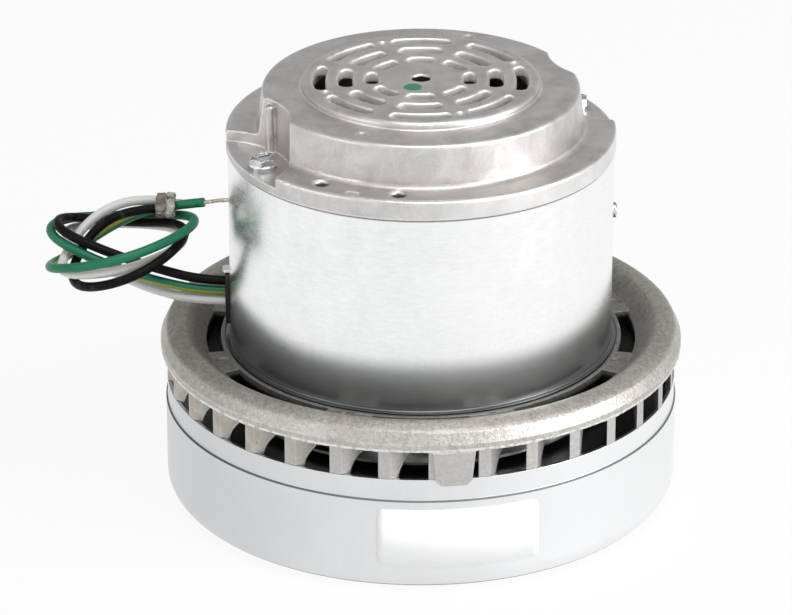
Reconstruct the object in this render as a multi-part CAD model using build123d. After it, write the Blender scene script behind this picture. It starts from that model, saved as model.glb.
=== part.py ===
from build123d import *
import os
from math import asin, cos, degrees, hypot, pi, radians, sin, tan

# Two-stage commutator motor for a vacuum cleaner, in millimetres, standing on its fan shell.
# Z is the shaft line, zero is the flat floor of the shell, the leads leave towards -X.

# Clearances shared by the whole motor
running_gap = 0.3
slide_gap = 0.05
overrun = 2.0

# Radii chained outwards from the can: its foot, the casting's rim, trough and ring, the shell, the fans
can_radius = 68.0
can_foot_lip = 1.7
rim_clearance = 0.4
rim_wall = 1.4
trough_width = 5.2
ring_slope_width = 7.7
ring_crest_width = 6.5
ring_edge_width = 2.1
ring_overhang = 1.5
vane_tip_inset = 0.7
fan_inset = 13.5
upper_fan_inset = 10.0
can_foot_radius = can_radius + can_foot_lip
rim_inner_radius = can_foot_radius + rim_clearance
trough_radius = rim_inner_radius + rim_wall + trough_width
ring_crest_radius = trough_radius + ring_slope_width
ring_shoulder_radius = ring_crest_radius + ring_crest_width
ring_radius = ring_shoulder_radius + ring_edge_width
shell_radius = ring_radius - ring_overhang
vane_tip_radius = shell_radius - vane_tip_inset
fan_radius = shell_radius - fan_inset
upper_fan_radius = fan_radius - upper_fan_inset

# Fan shell, deep drawn
shell_height = 43.0
shell_wall = 1.2
shell_corner = 7.0
shell_inner_corner = 5.8
band_height = 8.2
band_step = 0.6
inlet_radius = 29.5
inlet_lip_height = 6.0
inlet_lip_corner = 2.2
inlet_lip_inner_corner = 1.0

# Stages inside the shell
stage_gap = 1.2
plate_wall = 1.2
separator_drop = 8.5
return_height = 7.6
return_plate_margin = 6.5
eye_radius = 28.0
eye_lip_height = 2.4
return_vane_count = 12
return_vane_wall = 1.2
return_vane_inner = 36.0
return_vane_sweep = 38.0

# Working fans
fan_rim_height = 8.5
upper_fan_rim_height = 6.5
fan_eye_gap = 0.8
fan_plate_wall = 1.0
fan_vane_wall = 1.0
fan_vane_count = 7
fan_vane_sweep = 70.0
fan_vane_inner = 25.0
fan_vane_nose = 4.0
fan_vane_bow_share = 0.36
fan_hub_radius = 12.0
fan_shaft_radius = 4.0
fan_washer_wall = 1.4
spacer_radius = 8.0
nut_width = 12.0
nut_height = 6.0
shaft_tip = 2.0

# Fan bracket, sand cast
discharge_height = 11.5
ring_height = 8.7
ring_shoulder_height = 6.9
ring_outer_round = 2.2
ring_crest_round = 5.0
ring_inner_round = 2.6
trough_rise = 2.6
deck_drop = 6.0
deck_wall = 2.0
chamber_wall = 2.2
rim_rise = 0.6
ledge_radius = 66.2
ledge_wall = 3.0
web_azimuths = (20, 70, 110, 160, 200, 250, 290, 340)
web_angle = 13.0
boss_dish_radius = 3.1
boss_dish_depth = 0.5
vane_count = 33
vane_tip_azimuth = -88.3
vane_wall = 3.0
vane_sweep = 45.0
vane_depth = 14.5
vane_foot_depth = 1.0
vane_foot_drop = 1.5
vane_seat_gap = 0.1
vane_bow_in_share = 0.20
vane_bow_up_share = 0.58
gate_width = 15.2
gate_foot_width = 12.6
gate_depth = 7.0
gate_stand = 1.4
gate_drop = 1.9
gate_flash_share = 0.7
seal_radius = 12.0
seal_height = 2.2
seal_floor_wall = 1.8
bearing_shoulder = 1.6
hub_wall = 4.0
post_radius = 4.9

# Motor can, galvanised sheet
can_wall = 1.2
can_height = 72.9
can_foot_height = 1.1
can_foot_round = 0.6
lead_azimuth = 180.0
slot_width = 9.0
slot_low = 5.4
slot_high = 22.6
grommet_flange = 1.3
grommet_stand = 1.6
grommet_depth = 4.0
can_screw_height = 47.8
can_screw_radius = 2.75
can_screw_head = 1.3
can_screw_shank = 1.5
can_screw_length = 6.0
head_round_share = 0.5
tab_width = 5.0
tab_reach = 2.6
tab_wall = 1.0
tab_gap = 1.6
tab_round_share = 0.3

# Top bracket, die cast
flange_radius = 68.6
flange_height = 7.2
flange_wall = 4.2
flange_round = 1.4
flange_foot_round = 0.5
spigot_radius = 66.6
spigot_wall = 2.4
spigot_height = 4.0
hub_foot_radius = 57.6
hub_foot_round = 1.6
hub_top_radius = 55.6
hub_height = 15.1
hub_round = 1.6
roof_wall = 3.6
hub_inner_radius = 51.0
grille_rise = 2.8
grille_round = 2.1
grille_foot_round = 0.4
grille_wall = 3.6
grille_inner_radius = 14.9
grille_slot_widths = (4.8, 5.2, 4.4)
grille_lands = (4.25, 4.3)
grille_margin = 4.15
grille_slot_gap = 9.6
grille_slot_round = 1.0
grille_slots = 8
grille_hole_radius = 3.2
grille_dimple_radius = 1.8
grille_dimple_depth = 0.9
grille_dimples = 4
scallop_azimuth = 23.8
scallop_offset = 78.9
scallop_radius = 27.2
scallop_wall = 3.0
pocket_depth = 4.0
pocket_wall = 2.4
pocket_start = 9.0
pocket_angle = 30.5
rib_radius = 1.9
rib_ring = 54.1
rib_azimuth = 15.0
rib_drop = 0.4
rib_round_share = 0.45
notch_ring = 62.1
notch_radius = 2.4
notch_flare = 1.3
notch_depth = 4.6
notch_height = 3.0
notch_angle = 13.0
annulus_dimple_ring = 49.5
annulus_dimple_radius = 2.2
annulus_dimple_depth = 0.8
annulus_dimple_azimuths = (-114, 70)
cast_mark_ring = 65.0
cast_mark_azimuth = -111.0
cast_mark_length = 4.2
cast_mark_width = 2.2
cast_mark_depth = 0.5

# Through screws
screw_ring = 61.5
screw_azimuth = 27.0
screw_radius = 2.4
screw_hole_radius = 2.7
screw_head_width = 8.6
screw_head_height = 4.2
screw_washer_radius = 5.2
screw_washer_wall = 1.1
screw_chamfer = 0.9
screw_dish_radius = 2.7
screw_dish_depth = 0.5
screw_slot_width = 1.2
screw_slot_depth = 1.3
screw_bite = 14.0

# Bearings
upper_bearing_bore = 4.0
upper_bearing_radius = 11.0
upper_bearing_width = 7.0
upper_ball_radius = 1.98
upper_ball_count = 7
lower_bearing_bore = 5.0
lower_bearing_radius = 13.0
lower_bearing_width = 8.0
lower_ball_radius = 2.38
lower_ball_count = 7
race_wall_share = 0.30
cage_wall = 0.9
cage_side = 0.55
ball_gap = 0.06
upper_seat_wall = 3.2
wave_washer_wall = 0.5
wave_rise = 0.3
wave_count = 3
shaft_top_drop = 2.0

# Field and armature
stack_height = 30.0
stack_foot = 25.0
field_radius = 52.0
field_flat = 47.0
yoke_inner_radius = 43.5
bore_radius = 24.6
pole_shoe_wall = 4.5
pole_shoe_angle = 118.0
pole_neck_width = 24.0
pole_azimuth = 160.0
field_ear_radius = 4.9
coil_wall = 8.0
coil_depth = 7.5
coil_overhang = 9.0
coil_round = 3.5
coil_gap = 0.4
armature_radius = 24.0
armature_slots = 12
armature_slot_width = 5.2
armature_slot_depth = 9.0
armature_mouth_width = 2.2
armature_lip = 1.4
winding_overhang = 7.5
winding_outer_radius = 21.5
winding_inner_radius = 9.5
winding_round = 3.4
commutator_radius = 13.5
commutator_wall = 3.0
commutator_height = 15.0
commutator_bars = 24
commutator_bar_gap = 0.6
commutator_riser = 1.6
commutator_riser_height = 2.2
commutator_rise = 3.0
core_shaft_radius = 5.6
sleeve_radius = 8.0

# Brush gear
brush_azimuths = (70.0, -110.0)
brush_width = 6.0
brush_height = 10.0
brush_length = 18.0
brush_tube_wall = 0.9
brush_tube_start = 1.8
brush_tube_length = 33.0
brush_cap_wall = 1.2
holder_wall = 2.6
holder_length = 22.0
holder_start = 9.0
holder_ear_length = 9.0
holder_ear_wall = 4.0
ear_angle_share = 1.5
holder_screw_angle = 9.0
holder_screw_radius = 1.5
holder_screw_head_radius = 2.9
holder_screw_head = 1.8
holder_screw_length = 9.0
holder_screw_ring = 59.0
holder_screw_bite = 2.5
holder_boss_radius = 3.4
spring_radius = 2.5
spring_wire = 0.35
spring_turns = 8

# Leads, all with one wire and insulation size
lead_radius = 1.7
lead_heights = (20.1, 16.2, 12.3)
lead_bend_share = 0.45
strand_radius = 0.8
strand_lengths = {"black": 1.5, "green": 9.0, "white": 3.5}
tie_place = -91.5
tie_corners = ((26.8, 86.3), (23.4, 86.9), (17.4, 91.3), (19.4, 97.5), (26.0, 97.2))
tie_slack = 2.4
tie_wall = 0.8
tie_width = 3.2
gap_samples = 240
own_gap_reach_share = 9.0

# Cooling fan
cooling_radius = 49.0
cooling_hub_radius = 10.0
cooling_plate_wall = 1.2
cooling_blade_height = 8.0
cooling_blade_wall = 1.2
cooling_blade_count = 11
cooling_blade_inner = 19.0
cooling_rise = 1.5

# Grille rings, chained out from the bearing seat
grille_mid_radii = []
grille_edge = grille_inner_radius
for slot_width, land in zip(grille_slot_widths, (*grille_lands, grille_margin)):
    grille_mid_radii.append(grille_edge + slot_width / 2)
    grille_edge += slot_width + land
grille_radius = grille_edge

# Levels, all chained up from the floor of the shell
shoulder_level = shell_height - band_height
separator_top = shell_height - separator_drop
separator_level = separator_top - plate_wall
return_plate_top = separator_level - return_height
return_plate_level = return_plate_top - plate_wall
ceiling_level = shell_height + discharge_height
deck_level = ceiling_level - deck_drop
deck_top = deck_level + deck_wall
trough_level = ceiling_level + trough_rise
can_level = trough_level - rim_rise / 2
can_top = can_level + can_height
flange_top = can_top + flange_height
pocket_level = flange_top - pocket_depth
flange_under = flange_top - flange_wall
hub_top = flange_top + hub_height
roof_under = hub_top - roof_wall
grille_top = hub_top + grille_rise
grille_under = grille_top - grille_wall
seal_floor = deck_level + seal_height
lower_bearing_level = seal_floor + seal_floor_wall
lower_bearing_top = lower_bearing_level + lower_bearing_width
upper_seat_top = grille_under
upper_bearing_top = upper_seat_top - wave_washer_wall - wave_rise
upper_bearing_level = upper_bearing_top - upper_bearing_width
cooling_level = lower_bearing_top + cooling_rise
stack_level = can_level + stack_foot
stack_top = stack_level + stack_height
screw_foot = stack_level - screw_bite
commutator_level = stack_top + winding_overhang + commutator_rise
brush_level = commutator_level + commutator_riser_height + (commutator_height - commutator_riser_height) / 2
shaft_top = grille_top - grille_wall - shaft_top_drop
lower_fan_back = return_plate_level - stage_gap - fan_washer_wall
upper_fan_back = deck_level - stage_gap - fan_washer_wall


def rounded(corners):
    """A closed outline from (across, up, round) corners."""
    face = make_face(Polyline(*[(x, z) for x, z, r in corners], close=True))
    for x, z, r in corners:
        if r > 0:
            corner = min(face.vertices(), key=lambda v: hypot(v.X - x, v.Y - z))
            face = fillet(corner, r)
    return face


def turned(corners):
    """The solid that an outline of (radius, height, round) corners sweeps about the shaft line."""
    return revolve(Plane.XZ * rounded(corners), Axis.Z)


def ring(inner, outer, low, high):
    band = Cylinder(outer, high - low, align=(Align.CENTER, Align.CENTER, Align.MIN))
    if inner > 0:
        band -= Cylinder(inner, high - low, align=(Align.CENTER, Align.CENTER, Align.MIN))
    return Pos(0, 0, low) * band


def block(x_low, x_high, width, z_low, z_high):
    """A block along X, centred across Y."""
    long_side = x_high - x_low
    tall_side = z_high - z_low
    return Pos(x_low + long_side / 2, 0, z_low + tall_side / 2) * Box(long_side, width, tall_side)


def post(radius, across, low, high):
    return Pos(across, 0, low) * Cylinder(radius, high - low, align=(Align.CENTER, Align.CENTER, Align.MIN))


def sector(inner, outer, start, angle, low, high):
    """A slice of a ring, from one azimuth through an angle, in degrees."""
    inner_arc = CenterArc((0, 0), inner, start, angle)
    outer_arc = CenterArc((0, 0), outer, start, angle)
    sides = [Line(inner_arc @ 0, outer_arc @ 0), Line(inner_arc @ 1, outer_arc @ 1)]
    face = make_face([inner_arc, outer_arc, *sides])
    return Pos(0, 0, low) * extrude(face, high - low)


def spin(shape, azimuth):
    return Rot(0, 0, azimuth) * shape


def fan_shell():
    inner = shell_radius - shell_wall
    wall = turned(
        [
            (inlet_radius, 0, inlet_lip_corner),
            (shell_radius, 0, shell_corner),
            (shell_radius, shoulder_level, 0),
            (shell_radius - band_step, shoulder_level + band_step, 0),
            (shell_radius - band_step, shell_height, 0),
            (inner - band_step, shell_height, 0),
            (inner - band_step, shoulder_level + band_step, 0),
            (inner, shoulder_level, 0),
            (inner, shell_wall, shell_inner_corner),
            (inlet_radius + shell_wall, shell_wall, inlet_lip_inner_corner),
            (inlet_radius + shell_wall, inlet_lip_height, 0),
            (inlet_radius, inlet_lip_height, 0),
        ]
    )
    return wall


def swept_strip(inner, outer, wall, sweep, azimuth):
    """The plan of a straight vane whose outer end is at an azimuth and leans by the sweep angle."""
    run = outer - inner
    strip = Pos(-run, 0) * Rectangle(run * 2, wall, align=(Align.MIN, Align.MIN))
    return Rot(0, 0, azimuth) * Pos(outer, 0) * Rot(0, 0, -sweep) * strip


def curved_vane_plan(inner, outer, wall, sweep):
    """The plan of a backward-curved vane: an arc of one thickness from the inner to the outer radius."""
    start = Vector(inner, 0)
    finish = Vector(outer * cos(radians(sweep)), outer * sin(radians(sweep)))
    middle_angle = radians(sweep) * fan_vane_bow_share
    middle = (inner + outer) / 2
    centre = ThreePointArc(start, (middle * cos(middle_angle), middle * sin(middle_angle)), finish)
    return SlotArc(centre, wall)


def return_vane_plate():
    plate = ring(spacer_radius + running_gap * 2, shell_radius - shell_wall - return_plate_margin,
                 return_plate_level, return_plate_top)
    plan = curved_vane_plan(return_vane_inner, shell_radius - shell_wall - return_plate_margin - overrun,
                            return_vane_wall, return_vane_sweep)
    vane = Pos(0, 0, return_plate_level + plate_wall / 2) * extrude(plan, return_height + plate_wall / 2)
    vanes = [spin(vane, 360 / return_vane_count * i) for i in range(return_vane_count)]
    return plate + vanes


def separator_plate():
    rim = shell_radius - shell_wall - band_step - slide_gap
    return turned(
        [
            (eye_radius, separator_level, inlet_lip_inner_corner),
            (rim, separator_level, 0),
            (rim, separator_top, 0),
            (eye_radius + plate_wall, separator_top, 0),
            (eye_radius + plate_wall, separator_top + eye_lip_height, 0),
            (eye_radius, separator_top + eye_lip_height, 0),
        ]
    )


def fan_levels(outer, eye, back, eye_level, rim_height):
    """Heights that both plates and the vanes of one working fan share."""
    rim_under = back - fan_plate_wall - rim_height
    return {"outer": outer, "eye": eye, "back": back, "eye_level": eye_level, "rim_under": rim_under}


lower_fan = fan_levels(fan_radius, inlet_radius, lower_fan_back,
                       inlet_lip_height + fan_eye_gap + fan_plate_wall, fan_rim_height)
upper_fan = fan_levels(upper_fan_radius, eye_radius, upper_fan_back,
                       separator_top + eye_lip_height + fan_eye_gap + fan_plate_wall, upper_fan_rim_height)


def fan_back_plate(fan):
    disc = ring(fan_shaft_radius, fan["outer"], fan["back"] - fan_plate_wall, fan["back"])
    return disc


def fan_cone(fan, rise):
    """The outline of the front plate's upper or lower face, as heights at the eye and the rim."""
    return [(fan["eye"], fan["eye_level"] + rise, 0), (fan["outer"], fan["rim_under"] + rise, 0)]


def fan_front_plate(fan):
    lower_eye, lower_rim = fan_cone(fan, -fan_plate_wall)
    upper_eye, upper_rim = fan_cone(fan, 0)
    return turned([lower_eye, lower_rim, upper_rim, upper_eye])


def fan_vanes(fan):
    plan = curved_vane_plan(fan_vane_inner, fan["outer"] - overrun, fan_vane_wall, fan_vane_sweep)
    tall = extrude(plan, fan["back"] - fan_plate_wall)
    lower_eye, lower_rim = fan_cone(fan, 0)
    space = turned(
        [
            (fan_hub_radius, fan["back"] - fan_plate_wall - fan_vane_nose, 0),
            lower_eye,
            lower_rim,
            (fan["outer"], fan["back"] - fan_plate_wall, 0),
            (fan_hub_radius, fan["back"] - fan_plate_wall, 0),
        ]
    )
    vane = tall & space
    return Compound([spin(vane, 360 / fan_vane_count * i).solid() for i in range(fan_vane_count)])


def fan_bracket():
    wall_outer = trough_radius + chamber_wall
    body = turned(
        [
            (spacer_radius + running_gap * 2, deck_level, 0),
            (trough_radius - deck_wall, deck_level, 0),
            (wall_outer, ceiling_level - deck_wall, 0),
            (wall_outer + deck_wall, ceiling_level, 0),
            (ring_radius, ceiling_level, 0),
            (ring_radius, ceiling_level + trough_rise, 0),
            (ring_shoulder_radius, ceiling_level + ring_shoulder_height, ring_outer_round),
            ((ring_shoulder_radius + ring_crest_radius) / 2, ceiling_level + ring_height, ring_crest_round),
            (ring_crest_radius, ceiling_level + ring_height, ring_inner_round),
            (trough_radius, trough_level - rim_rise, 0),
            (trough_radius, deck_top, 0),
            (spacer_radius + running_gap * 2, deck_top, 0),
        ]
    )
    rim = ring(rim_inner_radius, rim_inner_radius + rim_wall, can_level - ledge_wall, can_level + rim_rise)
    ledge = ring(ledge_radius, rim_inner_radius + rim_wall / 2, can_level - ledge_wall, can_level)
    body += rim + ledge
    for azimuth in web_azimuths:
        start = azimuth - web_angle / 2
        web = sector(rim_inner_radius + rim_wall / 2, trough_radius + chamber_wall / 2, start, web_angle,
                     deck_top - deck_wall / 2, can_level + rim_rise / 2)
        foot = sector(ledge_radius, rim_inner_radius + rim_wall / 2, start, web_angle,
                      deck_top - deck_wall / 2, can_level - ledge_wall / 2)
        body += web + foot
    body += ring(0, lower_bearing_radius + hub_wall, deck_level, lower_bearing_top)
    for turn in (screw_azimuth, screw_azimuth + 180):
        body += spin(post(post_radius, screw_ring, deck_top - deck_wall / 2, stack_level), turn)
        body -= spin(post(screw_radius, screw_ring, screw_foot, stack_level + overrun), turn)
    body -= ring(0, seal_radius, deck_level - overrun, seal_floor)
    body -= ring(0, spacer_radius + bearing_shoulder, deck_level, lower_bearing_level + overrun)
    body -= ring(0, lower_bearing_radius, lower_bearing_level, lower_bearing_top + overrun)
    plans = [
        swept_strip(vane_tip_radius - vane_depth, vane_tip_radius, vane_wall, vane_sweep,
                    vane_tip_azimuth + 360 / vane_count * i)
        for i in range(vane_count)
    ]
    low = shell_height - vane_foot_drop
    strips = [Pos(0, 0, low) * extrude(plan, ceiling_level + deck_wall / 2 - low) for plan in plans]
    seat = shell_radius - band_step - shell_wall - vane_seat_gap
    space = revolve(Plane.XZ * vane_profile(seat, low), Axis.Z)
    body += [strip & space for strip in strips]
    body += gate_block()
    dish = ring(0, boss_dish_radius, 0, boss_dish_depth + overrun)
    dish_ring = (trough_radius + rim_inner_radius + rim_wall) / 2
    for azimuth in web_azimuths:
        body -= spin(Pos(dish_ring, 0, can_level + rim_rise / 2 - boss_dish_depth) * dish, azimuth)
    return body


def vane_profile(seat, low):
    """The side view of a vane: full height at its tip, with its lower inner edge curving up to the ceiling."""
    inner = vane_tip_radius - vane_depth
    foot = seat - vane_foot_depth
    top = ceiling_level + deck_wall / 2
    bow = Vector(foot - (foot - inner) * vane_bow_in_share, low + (top - low) * vane_bow_up_share)
    lines = [
        Line((inner, top), (vane_tip_radius, top)),
        Line((vane_tip_radius, top), (vane_tip_radius, shell_height + vane_seat_gap)),
        Line((vane_tip_radius, shell_height + vane_seat_gap), (seat, shell_height + vane_seat_gap)),
        Line((seat, shell_height + vane_seat_gap), (seat, low)),
        Line((seat, low), (foot, low)),
        ThreePointArc((foot, low), bow, (inner, top)),
    ]
    return make_face(lines)


def gate_block():
    """The casting gate left between two vanes, with its thin flash lapping the shell."""
    pitch = 360 / vane_count
    azimuth = vane_tip_azimuth + pitch / 2
    low = shell_height + vane_seat_gap
    face = vane_tip_radius + gate_stand
    corners = [(-gate_width / 2, ceiling_level), (gate_width / 2, ceiling_level),
               (gate_foot_width / 2, low), (-gate_foot_width / 2, low)]
    outline = make_face(Polyline(*corners, close=True))
    block_solid = extrude(Plane.YZ * outline, face)
    slice_space = ring(vane_tip_radius - gate_depth, face, low, ceiling_level)
    flash_corners = [(-gate_foot_width / 2, low), (gate_foot_width / 2, low),
                     (gate_foot_width * gate_flash_share / 2, low - gate_drop),
                     (-gate_foot_width * gate_flash_share / 2, low - gate_drop)]
    flash = extrude(Plane.YZ * make_face(Polyline(*flash_corners, close=True)), face)
    flash_space = ring(shell_radius - band_step + vane_seat_gap, face, low - gate_drop, low + gate_drop)
    return spin((block_solid & slice_space) + (flash & flash_space), azimuth)


def motor_can():
    inner = can_radius - can_wall
    wall = turned(
        [
            (inner, can_level, 0),
            (can_foot_radius, can_level, 0),
            (can_foot_radius, can_level + can_foot_height, 0),
            (can_radius, can_level + can_foot_height, can_foot_round),
            (can_radius, can_top, 0),
            (inner, can_top, 0),
        ]
    )
    slot = block(inner - overrun, can_radius + overrun, slot_width, can_level + slot_low, can_level + slot_high)
    slot = fillet(slot.edges().filter_by(Axis.X), slot_width / 2 - slide_gap)
    wall -= spin(slot, lead_azimuth)
    hole = Pos(0, 0, can_level + can_screw_height) * Rot(0, 90, 0) * Cylinder(
        can_screw_shank, can_radius + overrun, align=(Align.CENTER, Align.CENTER, Align.MIN))
    tab_low = can_level + slot_high + tab_gap
    tab = block(inner + slide_gap, can_radius + tab_reach, tab_width, tab_low, tab_low + tab_wall)
    tab = fillet(tab.edges().filter_by(Axis.Z).sort_by(Axis.X)[-2:], tab_width * tab_round_share)
    return wall - hole + spin(tab, lead_azimuth)


def lead_grommet():
    """A rubber plug that fills the lead slot, with a flange on each side of the sheet."""
    inner = can_radius - can_wall
    low = can_level + slot_low
    high = can_level + slot_high
    plug = block(inner - grommet_depth, can_radius + grommet_stand, slot_width - slide_gap * 2,
                 low + slide_gap, high - slide_gap)
    plug = fillet(plug.edges().filter_by(Axis.X), slot_width / 2 - slide_gap * 2)
    flange = block(inner - grommet_depth, can_radius + grommet_stand, slot_width + grommet_flange * 2,
                   low - grommet_flange, high + grommet_flange)
    flange = fillet(flange.edges().filter_by(Axis.X), slot_width / 2)
    flange -= ring(inner - slide_gap, can_radius + slide_gap, low - grommet_flange * 2,
                   high + grommet_flange * 2)
    body = plug + flange
    for height in lead_heights:
        hole = Pos(0, 0, can_level + height) * Rot(0, 90, 0) * Cylinder(
            lead_radius + slide_gap, can_radius + overrun * 2, align=(Align.CENTER, Align.CENTER, Align.MIN))
        body -= hole
    return spin(body, lead_azimuth)


def can_screw():
    head = Cylinder(can_screw_radius, can_screw_head, align=(Align.CENTER, Align.CENTER, Align.MIN))
    head = fillet(head.edges().sort_by(Axis.Z)[-1], can_screw_head * head_round_share)
    slot = Pos(0, 0, can_screw_head) * Box(can_screw_radius * 2 + overrun, can_screw_head * head_round_share,
                                           can_screw_head)
    shank = Cylinder(can_screw_shank - slide_gap, can_screw_length,
                     align=(Align.CENTER, Align.CENTER, Align.MAX))
    screw = (head - slot) + shank
    return Pos(can_radius, 0, can_level + can_screw_height) * Rot(0, 90, 0) * screw


def top_bracket():
    body = turned(
        [
            (0, can_top, 0),
            (flange_radius, can_top, flange_foot_round),
            (flange_radius, flange_top, flange_round),
            (hub_foot_radius, flange_top, hub_foot_round),
            (hub_top_radius, hub_top, hub_round),
            (grille_radius, hub_top, grille_foot_round),
            (grille_radius, grille_top, grille_round),
            (0, grille_top, 0),
        ]
    )
    body += ring(0, spigot_radius, can_top - spigot_height, can_top + overrun)
    pocket = sector(hub_foot_radius + hub_foot_round / 2, flange_radius + overrun, pocket_start, pocket_angle,
                    pocket_level, flange_top + overrun)
    scallop = spin(post(scallop_radius, scallop_offset, pocket_level, grille_top + overrun), scallop_azimuth)
    rib = post(rib_radius, rib_ring, can_top, hub_top - hub_round - rib_drop)
    rib = fillet(rib.edges().sort_by(Axis.Z)[-1], rib_radius * rib_round_share)
    for turn in (0, 180):
        body -= spin(pocket, turn)
        body -= spin(scallop, turn)
        body += spin(rib, rib_azimuth + turn)
    body -= top_cavity()
    body -= [spin(slot, 360 / grille_slots * i) for slot in grille_slot_cutters() for i in range(grille_slots)]
    seat = ring(0, upper_bearing_radius + upper_seat_wall, upper_bearing_level, grille_under + overrun)
    body += seat & ring(0, hub_inner_radius, upper_bearing_level, grille_top - overrun)
    body -= ring(0, upper_bearing_radius, upper_bearing_level - overrun, upper_seat_top)
    body -= ring(0, grille_hole_radius, upper_seat_top - overrun, grille_top + overrun)
    body = soften_slots(body)
    for turn in (screw_azimuth, screw_azimuth + 180):
        body += spin(post(post_radius, screw_ring, stack_top, pocket_level - pocket_wall / 2), turn)
        body -= spin(post(screw_hole_radius, screw_ring, stack_top - overrun, flange_top), turn)
    for azimuth in brush_azimuths:
        for side in (-holder_screw_angle, holder_screw_angle):
            boss = post(holder_boss_radius, holder_screw_ring, can_top - spigot_height, flange_under + overrun)
            body += spin(boss, azimuth + side)
    body -= surface_marks()
    body -= holder_screw_holes()
    return body


def soften_slots(body):
    """Round the cast edges of the slots and the middle hole where they meet the grille's top face."""
    top_edges = body.edges().filter_by_position(Axis.Z, grille_top - slide_gap, grille_top + slide_gap)
    around_slots = [edge for edge in top_edges if edge.length < grille_radius]
    return fillet(around_slots, grille_slot_round)


def top_cavity():
    """The room inside the bracket: a wide space in the flange and a narrower one in the hub."""
    low = can_top - spigot_height - overrun
    room = ring(0, spigot_radius - spigot_wall, low, flange_under)
    tall = ring(0, hub_inner_radius, low, roof_under)
    tall += ring(0, grille_radius - grille_wall, low, grille_under)
    thick = spin(post(scallop_radius + scallop_wall, scallop_offset, pocket_level - overrun,
                      grille_top + overrun), scallop_azimuth)
    pad = sector(hub_inner_radius - overrun, spigot_radius, pocket_start, pocket_angle,
                 pocket_level - pocket_wall, flange_top)
    for turn in (0, 180):
        tall -= spin(thick, turn)
        room -= spin(pad, turn)
    return room + tall


def grille_slot_cutters():
    cutters = []
    for middle, width in zip(grille_mid_radii, grille_slot_widths):
        cap_angle = degrees(asin(width / 2 / middle))
        reach = 360 / grille_slots - grille_slot_gap - cap_angle * 2
        centre = CenterArc((0, 0), middle, -reach / 2, reach)
        plan = SlotArc(centre, width)
        cutters.append(Pos(0, 0, grille_under - overrun) * extrude(plan, grille_wall + overrun * 2))
    return cutters


def hollow(radius, depth, across, level):
    """A ball that leaves a round hollow of one radius and depth in a flat face."""
    ball = (radius**2 + depth**2) / (depth * 2)
    return Pos(across, 0, level + ball - depth) * Sphere(ball)


def flared_hole(radius, flare, across, low, level, high):
    """A drilled hole whose mouth opens out in a round at one level."""
    bend = flare * sin(radians(45))
    sides = [
        Polyline((0, high), (0, low), (radius, low), (radius, level - flare)),
        ThreePointArc((radius, level - flare), (radius + flare - bend, level - flare + bend), (radius + flare, level)),
        Polyline((radius + flare, level), (radius + flare, high), (0, high)),
    ]
    return Pos(across, 0, 0) * revolve(Plane.XZ * make_face(sides), Axis.Z)


def surface_marks():
    """Round hollows on the grille and its surround, and the flared notches at the hub's foot."""
    marks = []
    dimple = hollow(grille_dimple_radius, grille_dimple_depth, grille_mid_radii[-1], grille_top)
    for quarter in range(grille_dimples):
        marks.append(spin(dimple, 360 / grille_slots / 2 + 360 / grille_dimples * quarter))
    small = hollow(annulus_dimple_radius, annulus_dimple_depth, annulus_dimple_ring, hub_top)
    for azimuth in annulus_dimple_azimuths:
        marks.append(spin(small, azimuth))
    notch = flared_hole(notch_radius, notch_flare, notch_ring, flange_top - notch_depth, flange_top,
                        flange_top + notch_height)
    for azimuth in brush_azimuths:
        for side in (-notch_angle, notch_angle):
            marks.append(spin(notch, azimuth + side))
    stamp = Pos(cast_mark_ring, 0, flange_top) * Box(cast_mark_width, cast_mark_length, cast_mark_depth * 2)
    marks.append(spin(stamp, cast_mark_azimuth))
    return marks


def holder_screw_holes():
    hole = post(holder_screw_radius, holder_screw_ring, can_top - spigot_height,
                flange_under + holder_screw_bite)
    return [
        spin(hole, azimuth + side)
        for azimuth in brush_azimuths
        for side in (-holder_screw_angle, holder_screw_angle)
    ]


def through_screws():
    """Two long screws with a chamfered, dished and slotted hexagon head on a washer."""
    head_level = pocket_level + screw_washer_wall
    head_top = pocket_level + screw_head_height
    corner = screw_head_width / 2 / cos(radians(30))
    washer = ring(0, screw_washer_radius, pocket_level, head_level)
    hexagon = Pos(0, 0, head_level) * extrude(RegularPolygon(screw_head_width / 2, 6, major_radius=False),
                                              head_top - head_level)
    head = hexagon & turned(
        [
            (0, head_level, 0),
            (corner, head_level, 0),
            (corner, head_top - screw_chamfer, 0),
            (corner - screw_chamfer * 2, head_top, 0),
            (0, head_top, 0),
        ]
    )
    head -= ring(0, screw_dish_radius, head_top - screw_dish_depth, head_top + overrun)
    slot = Pos(0, 0, head_top) * Box(screw_washer_radius * 2, screw_slot_width, screw_slot_depth * 2)
    shank = ring(0, screw_radius - slide_gap, screw_foot, head_level)
    screw = (washer + head - slot) + shank
    return Compound([
        spin(Pos(screw_ring, 0, 0) * screw, turn).solid() for turn in (screw_azimuth, screw_azimuth + 180)
    ])


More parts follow.
